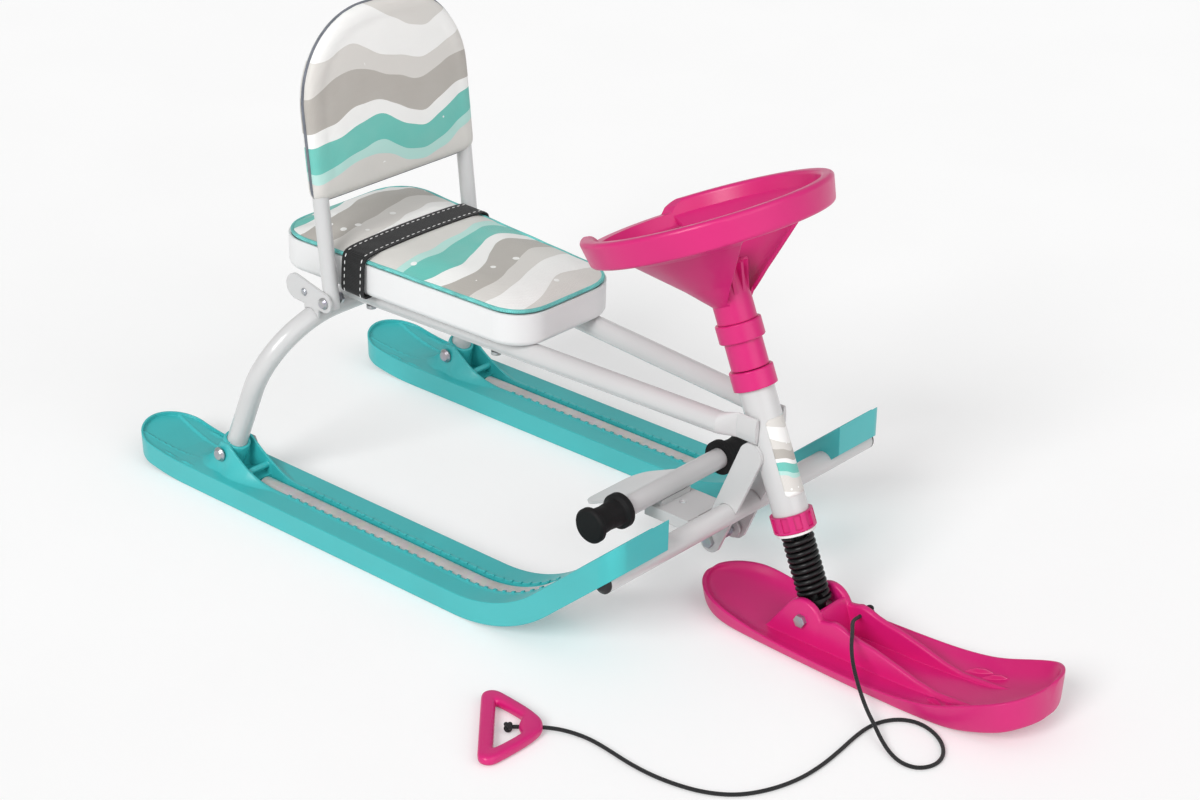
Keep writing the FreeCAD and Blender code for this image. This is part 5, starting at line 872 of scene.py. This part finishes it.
# Ends of the two fins on each side, along and across
FINS = (((0.466, 0.036), (0.5, 0.047)), ((0.488, 0.034), (0.522, 0.044)))
FIN_HALF = 0.0022
FIN_EDGE = 0.0015
FIN_HEIGHT = 0.0075
FIN_SINK = 0.001
# Section of the web between the cheeks, ahead of and above the pivot
WEB_SECTION = [(0.016, 0.014), (0.02, 0.014), (0.036, -0.03), (0.032, -0.03)]
WEB_OVERLAP = 0.002


def cheek_top(ahead):
    """Height of a cheek's edge at a distance ahead of the pivot."""
    heights = [0]
    if abs(ahead) < CHEEK_HEAD:
        heights.append(PIVOT.z + math.sqrt(CHEEK_HEAD ** 2 - ahead ** 2))
    if ahead < 0:
        flank = (ahead + CHEEK_REAR) / (CHEEK_REAR - 0.75 * CHEEK_HEAD)
        heights.append(CHEEK_FOOT + min(1, flank) * (PIVOT.z + 0.66 * CHEEK_HEAD - CHEEK_FOOT))
    else:
        heights.append(along_table(CREST_SHARES, ahead / CHEEK_NOSE)[0] * CREST_HEIGHT)
    return max(heights)


def ski_deck(place):
    """Height of the front ski's deck on its middle line."""
    low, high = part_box("front_ski")
    share = (place - low[0]) / (high[0] - low[0])
    return along_table(SKI_FORM_SHARES, share)[3] * high[2]


def cheek(work, side):
    """Upright cheek with a round head at the pivot, running out ahead as a low ridge."""
    rings = []
    for step in range(CHEEK_STEPS + 1):
        ahead = -CHEEK_REAR + (CHEEK_REAR + CHEEK_NOSE) * step / CHEEK_STEPS
        place = PIVOT.x + ahead
        foot = ski_deck(place) - CHEEK_SINK
        top = max(cheek_top(ahead), foot + CHEEK_LEAST)
        fade = max(0, ahead - CHEEK_HEAD) / CHEEK_NOSE
        curl = min(CHEEK_CURL, 0.3 * (top - foot))
        half = CHEEK_WALL * (1 - CHEEK_THINNING * fade) / 2
        section = [(-half - CHEEK_SPLAY, foot), (-half, top - 2 * curl),
                   (-half + 0.3 * curl, top - 0.6 * curl),
                   (-half + curl, top), (half - curl, top), (half - 0.3 * curl, top - 0.6 * curl),
                   (half, top - 2 * curl), (half + CHEEK_SPLAY + CHEEK_FLARE * fade, foot)]
        middle = CHEEK_GAP + CHEEK_WALL / 2
        rings.append([Vector((place, side * (middle + across), up)) for across, up in section])
    lofted(work, rings)


def fin(work, start, end, side):
    """Short raised fin on the deck, highest in its middle."""
    rings = []
    for share in (0, 0.15, 0.35, 0.6, 0.85, 1):
        place = start[0] + (end[0] - start[0]) * share
        across = start[1] + (end[1] - start[1]) * share
        base = ski_deck(place) - FIN_SINK
        top = base + FIN_EDGE + FIN_HEIGHT * math.sin(math.pi * share)
        section = ((across - FIN_HALF, base), (across, top), (across + FIN_HALF, base))
        rings.append([Vector((place, side * aside, up)) for aside, up in section])
    lofted(work, rings)


def front_ski():
    """Front ski: dish, two cheeks, the web between them and small fins towards the tip."""
    work = bmesh.new()
    front_dish(work)
    ski = from_bmesh("front_ski_moulding", work)
    subdivided(ski, 2)
    apply_modifiers(ski)
    work = bmesh.new()
    work.from_mesh(ski.data)
    for side in (1, -1):
        cheek(work, side)
        for start, end in FINS:
            fin(work, start, end, side)
    web = []
    for side in (-1, 1):
        across = side * (CHEEK_GAP + WEB_OVERLAP)
        web.append([PIVOT + Vector((ahead, across, up)) for ahead, up in WEB_SECTION])
    lofted(work, web)
    bmesh.ops.recalc_face_normals(work, faces=work.faces)
    work.to_mesh(ski.data)
    work.free()
    smooth(ski)
    ski.data.set_sharp_from_angle(angle=math.radians(50))
    finish_piece(ski, "front_ski", "pink_plastic")
    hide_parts("front_ski")


front_ski()


# Rear skis: turned-up tail with a scooped deck, and an open pocket ahead of the leg's socket

TAIL_X = -0.593
REAR_LENGTH = 0.8
SOLE_FLAT = 0.561
SOLE_RADIUS = 0.22
SOLE_ANGLE = math.radians(40.5)
TIP_CORNER = 0.024
SKI_MIDDLE = 0.191
SKI_HALF = 0.0435
SKI_TOP = 0.0276
LIP_TOP = 0.0283
LIP_WALL = 0.003
GROOVE_HALF = 0.0128
GROOVE_FLOOR = 0.003
RIM_WALL = 0.0026
RIM_DEPTH = 0.0025
RAMP_START = 0.085
RAMP_END = 0.15
BOSS_TOP = 0.064
BOSS_BOLT = 0.1525
POCKET_START = 0.16
POCKET_HALF = 0.0165
POCKET_FLOOR = 0.024
GROOVE_START = 0.198
GROOVE_END = 0.797
CHEEK_END = 0.243
TAB_START = 0.262
TAB_STEP = 0.014
TAB_COUNT = 30
TAB_LENGTH = 0.004
SOCKET_AXIS = Vector((0.4067, 0, 0.9135))
SOCKET_FOOT = Vector((-0.4405, 0, 0.0495))
# Sleeve round the leg: radius and height along the leg, outside and then inside
SOCKET_SECTION = [(0.0164, -0.022), (0.0164, 0.0135), (0.0159, 0.0147), (0.015, 0.0151), (0.0129, 0.0151),
                  (0.0129, -0.022)]
# Tab's section from the groove's edge and the lip's top
TAB_SECTION = [(-0.0014, -0.0006), (-0.0014, 0.001), (-0.0004, 0.0014), (0.002, 0.0014), (0.002, -0.001)]
PIN_PLACE = Vector((-0.4025, 0, 0.034))
PIN_RADIUS = 0.004
PIN_SINK = 0.001
TAIL_RISE = 0.0165
TAIL_RUN = 0.105
RAMP_POWER = 2.2
RAMP_HALF = 0.006
RAMP_FLAT = 0.6
BOSS_FOOT = SKI_TOP - 0.003
BOSS_ROOM = 0.03
CHEEK_START = 0.163
CHEEK_POWER = 1.9
FLANK_EDGE = 0.042
FLANK_POWER = 2.6
FLANK_BULGE = 0.013
# Relief of the tail's deck, with the two gills given along and across
RIM_END = (0.08, 0.115)
SCOOP_END = (0.085, 0.12)
SCOOP_EDGE = (-0.0008, 0.0014)
SCOOP_DEPTH = 0.0022
RIDGE_START = (0.016, 0.0285)
RIDGE_TAPER = 0.133
RIDGE_HEIGHT = 0.0012
RIDGE_HALF = 0.0011
GILLS = ((0.074, 0.0365), (0.104, 0.0385))
GILL_LENGTH = 0.011
GILL_HALF = 0.0017
GILL_HEIGHT = 0.0022
# Small steps between neighbouring points at upright walls and at rounded edges
WALL_STEP = 0.00025
EDGE_STEP = 0.0001
RIM_ROUND = (0.0006, 0.0007)
FOOT_ROUND = 0.0008
# Places of the sections near the tail, from its end, and near the tip, from there
TAIL_PLACES = [0.0001, 0.0005, 0.0012, 0.002, 0.0025, 0.0027, 0.0033, 0.0042, 0.0055, 0.007, 0.009, 0.011]
TIP_PLACES = [0.024, 0.0225, 0.02, 0.017, 0.014, 0.011, 0.008, 0.0055, 0.0031, 0.0029, 0.0015, 0.0006,
              0.0001]


def eased(value, low, high):
    """0 below low, 1 above high and a smooth rise between them."""
    share = min(1, max(0, (value - low) / (high - low)))
    return share * share * (3 - 2 * share)


def tail_lift(along):
    """How far the tail turns up at a distance from its end."""
    return TAIL_RISE * max(0, 1 - along / TAIL_RUN) ** 2


def sole_line(place, up):
    """Height of a line that stays a height above the sole, which bends up to a straight rise."""
    run = place - TAIL_X - SOLE_FLAT
    if run <= 0:
        return up
    radius = SOLE_RADIUS - up
    bend = radius * math.sin(SOLE_ANGLE)
    if run <= bend:
        return SOLE_RADIUS - math.sqrt(radius ** 2 - run ** 2)
    return SOLE_RADIUS - radius * math.cos(SOLE_ANGLE) + (run - bend) * math.tan(SOLE_ANGLE)


def tip_half(along):
    """Half width on the outer side, whose corner at the tip is round."""
    left = REAR_LENGTH - along
    if left >= TIP_CORNER:
        return SKI_HALF
    return SKI_HALF - TIP_CORNER + math.sqrt(TIP_CORNER ** 2 - (TIP_CORNER - left) ** 2)


def plan_half(along, inset):
    """Half width of the round-ended plan, drawn in by an inset."""
    radius = SKI_HALF - inset
    behind = max(0, SKI_HALF - along)
    return math.sqrt(max(0, radius ** 2 - behind ** 2))


def boss_crest(along):
    """Height of the boss: a hollow ramp up from the tail, and a hollow slope down ahead of the leg."""
    if along < RAMP_END:
        share = max(0, along - RAMP_START) / (RAMP_END - RAMP_START)
        return BOSS_FOOT + (BOSS_TOP - BOSS_FOOT) * share ** RAMP_POWER
    share = min(1, max(0, CHEEK_END - along) / (CHEEK_END - CHEEK_START))
    return LIP_TOP + (BOSS_TOP - LIP_TOP) * share ** CHEEK_POWER


def boss_width(along):
    """Inner and outer half widths of the boss's crest."""
    if along < RAMP_END:
        share = max(0, along - RAMP_START) / (RAMP_END - RAMP_START)
        outer = RAMP_HALF + (POCKET_HALF + LIP_WALL - RAMP_HALF) * share
        return RAMP_FLAT * outer, outer
    share = min(1, max(0, along - GROOVE_START) / (CHEEK_END - GROOVE_START))
    inner = POCKET_HALF + (GROOVE_HALF - POCKET_HALF) * share
    return inner, inner + LIP_WALL


def scoop(along, across):
    """Relief of the tail's deck: a shallow scoop between two ridges, and two gills near the rim."""
    ridge = RIDGE_START[1] - RIDGE_TAPER * (along - RIDGE_START[0])
    shown = 1 - eased(along, *SCOOP_END)
    relief = -SCOOP_DEPTH * eased(ridge - across, *SCOOP_EDGE) * shown
    relief += RIDGE_HEIGHT * math.exp(-((across - ridge) / RIDGE_HALF) ** 2) * shown
    for place, side in GILLS:
        away = ((along - place) / GILL_LENGTH) ** 2 + ((across - side) / GILL_HALF) ** 2
        relief += GILL_HEIGHT * math.exp(-away)
    return relief


def ski_top(along, across):
    """Height of a rear ski's upper surface at a distance from its tail and from its middle line."""
    inner, outer = boss_width(along)
    if across <= inner and GROOVE_START < along < GROOVE_END:
        return GROOVE_FLOOR
    if across <= inner and POCKET_START < along <= GROOVE_START:
        return POCKET_FLOOR
    height = SKI_TOP + tail_lift(along)
    if across < plan_half(along, RIM_WALL) + EDGE_STEP:
        height += scoop(along, across) - RIM_DEPTH * (1 - eased(along, *RIM_END))
    crest = boss_crest(along)
    if across > outer:
        share = max(0, FLANK_EDGE - across) / (FLANK_EDGE - outer)
        power = FLANK_POWER * (1 + math.exp(-((along - BOSS_BOLT) / FLANK_BULGE) ** 2))
        crest = BOSS_FOOT + (crest - BOSS_FOOT) * share ** power
    return max(height, crest)


def rear_ring(along, outward):
    """Points round a rear ski's upright section at a distance from its tail, about its middle line."""
    half = plan_half(along, 0)
    edge = plan_half(along, RIM_WALL) or 0.5 * half
    scale = min(1, edge / BOSS_ROOM)
    inner, outer = (width * scale for width in boss_width(along))
    wall = inner + WALL_STEP
    stops = [inner * step / 10 for step in range(11)]
    stops += [wall + (outer - wall) * step / 3 for step in range(4)]
    stops += [outer + (edge - outer) * step / 24 for step in range(1, 25)]
    stops += [edge + WALL_STEP, (edge + half) / 2, half - RIM_ROUND[0]]
    lift = tail_lift(along)
    right = [(across, ski_top(along, across)) for across in stops]
    right += [(half, SKI_TOP + lift - RIM_ROUND[1]), (max(0, half - FOOT_ROUND), lift + EDGE_STEP)]
    fixed = min(outer, edge)
    narrow = (tip_half(along) - fixed) / (SKI_HALF - fixed)
    round_side = [(fixed + (across - fixed) * narrow if across > fixed else across, up)
                  for across, up in right]
    place = TAIL_X + along
    points = [(-across, up) for across, up in reversed(right)] + round_side[1:]
    return [Vector((place, outward * across, sole_line(place, up))) for across, up in points]


def rear_places():
    """Distances from the tail at which the rear ski's section is drawn."""
    places = TAIL_PLACES + [0.0125 + 0.0015 * step for step in range(125)]
    for wall in (POCKET_START, GROOVE_START):
        places += [wall - EDGE_STEP, wall + EDGE_STEP]
    places += [0.205 + 0.0025 * step for step in range(17)] + [0.25, 0.3, 0.35, 0.4, 0.45, 0.5, 0.55]
    places += [SOLE_FLAT + 0.006 * step for step in range(25)] + [0.72, 0.74, 0.76]
    return sorted(places + [REAR_LENGTH - left for left in TIP_PLACES])


def tab_rings(along, side):
    """Small tab on the groove's edge, reaching in over the runner."""
    rings = []
    for place in (TAIL_X + along, TAIL_X + along + TAB_LENGTH):
        rings.append([Vector((place, side * (GROOVE_HALF + across), sole_line(place, LIP_TOP + up)))
                      for across, up in TAB_SECTION])
    return rings


def socket_rings():
    """Sleeve round the frame's leg, at the back of the pocket."""
    turn = SOCKET_AXIS.to_track_quat("Z", "Y").to_matrix()
    rings = []
    for radius, up in SOCKET_SECTION:
        rings.append([SOCKET_FOOT + turn @ (point + Vector((0, 0, up))) for point in circle(radius, 48)])
    return rings


def pin_rings():
    """Round pin across the pocket, just behind the runner."""
    reach = POCKET_HALF + PIN_SINK
    return [[PIN_PLACE + Vector((point.x, across, point.y)) for point in circle(PIN_RADIUS, 24)]
            for across in (-reach, reach)]


def rear_ski(side, sign):
    """Rear ski: one moulding from tail to tip, with the leg's socket, the pin and the runner's tabs."""
    work = bmesh.new()
    shift = Vector((0, sign * SKI_MIDDLE, 0))
    forms = [[rear_ring(along, sign) for along in rear_places()], socket_rings(), pin_rings()]
    for number in range(TAB_COUNT):
        forms += [tab_rings(TAB_START + TAB_STEP * number, edge) for edge in (1, -1)]
    for rings in forms:
        lofted(work, [[point + shift for point in ring] for ring in rings])
    ski = smooth(from_bmesh(f"rear_ski_moulding_{side}", work))
    ski.data.set_sharp_from_angle(angle=math.radians(38))
    finish_piece(ski, "frame", "ski_plastic")
    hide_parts(f"rear_ski_{side}")


rear_ski("left", 1)
rear_ski("right", -1)


# Label on the front of the head tube
LABEL_RADIUS = 0.0201
LABEL_BOTTOM = -0.052
LABEL_TOP = 0.036
LABEL_HALF = 0.0175
LABEL_CORNER = 0.004
LABEL_THICKNESS = 0.0002
LABEL_STEPS = 12


def head_label():
    """Thin printed film with rounded corners, wrapped round the front of the head tube."""
    low, high = (Vector(corner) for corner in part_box("head_tube"))
    middle = (low + high) / 2
    side = Vector((0, 1, 0))
    ahead = side.cross(STEERING_AXIS)
    work = bmesh.new()
    rows = []
    for step in range(2 * LABEL_STEPS + 1):
        up = LABEL_BOTTOM + (LABEL_TOP - LABEL_BOTTOM) * step / (2 * LABEL_STEPS)
        short = max(0, LABEL_CORNER - min(up - LABEL_BOTTOM, LABEL_TOP - up))
        half = LABEL_HALF - LABEL_CORNER + math.sqrt(max(0, LABEL_CORNER ** 2 - short ** 2))
        row = []
        for share in range(-LABEL_STEPS, LABEL_STEPS + 1):
            angle = half * share / LABEL_STEPS / LABEL_RADIUS
            outward = math.cos(angle) * ahead + math.sin(angle) * side
            row.append(work.verts.new(middle + STEERING_AXIS * up + outward * LABEL_RADIUS))
        rows.append(row)
    bridge(work, rows, closed=False)
    label = from_bmesh("head_label_film", work)
    thickened(label, LABEL_THICKNESS)
    apply_modifiers(label)
    finish_piece(smooth(label), "frame", "white_plastic", LABEL_FILM)


head_label()


def front_spring():
    """Coil spring between the column's seat and the head tube's washer, copied from the solid's spring."""
    spring = add("front_spring_coil", frame["nodes"]["front_spring"].data.copy())
    finish_piece(spring, "column", "spring_paint")
    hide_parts("front_spring")
    heights = [STEERING_AXIS.dot(vertex.co) for vertex in spring.data.vertices]
    low = min(range(len(heights)), key=heights.__getitem__)
    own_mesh(spring)


front_spring()


# Studio
FLOOR_REACH = 90
FLOOR_LEVEL = -0.0004
FLOOR_GLOW = 0.2
ROOM_LIGHT = 0.47
# Each lamp's name, strength, spread in degrees and heading
LAMPS = (("key", 1.85, 26, (-0.15, 0.9, -0.62)), ("fill", 0.95, 60, (-0.9, 0.1, -0.5)))


def floor():
    """Pale floor that keeps the sled's soft shadow."""
    mesh = bpy.data.meshes.new("floor")
    signs = ((-1, -1), (1, -1), (1, 1), (-1, 1))
    corners = [(x * FLOOR_REACH, y * FLOOR_REACH, FLOOR_LEVEL) for x, y in signs]
    mesh.from_pydata(corners, [], [(0, 1, 2, 3)])
    surface = Surface("pale floor", linear(232, 232, 232), 0.9, Emission_Color=(1, 1, 1, 1))
    tints = [(0.3, linear(231, 231, 231)), (0.7, linear(233, 233, 233))]
    surface.to("Base Color", surface.ramp(surface.noise(3.0, 2.0), tints))
    path = surface.node("ShaderNodeLightPath").outputs
    seen = surface.sums("MAXIMUM", path["Is Camera Ray"], path["Is Glossy Ray"])
    seen = surface.sums("MAXIMUM", seen, path["Is Transmission Ray"])
    surface.to("Emission Strength", surface.sums("MULTIPLY", seen, FLOOR_GLOW))
    ground = add("floor", mesh)
    ground.data.materials.append(surface.material)


def light():
    """Even studio light: a bright room, a soft key from above the left shoulder and a weak fill."""
    world = bpy.data.worlds.new("studio")
    scene.world = world
    world.use_nodes = True
    room = world.node_tree.nodes["Background"].inputs
    room["Color"].default_value = (1, 1, 1, 1)
    room["Strength"].default_value = ROOM_LIGHT
    for name, strength, spread, heading in LAMPS:
        lamp = bpy.data.lights.new(name, "SUN")
        lamp.energy = strength
        lamp.angle = math.radians(spread)
        add(name, lamp).rotation_euler = Vector(heading).to_track_quat("-Z", "Y").to_euler()
    scene.view_settings.view_transform = "Standard"


floor()
light()
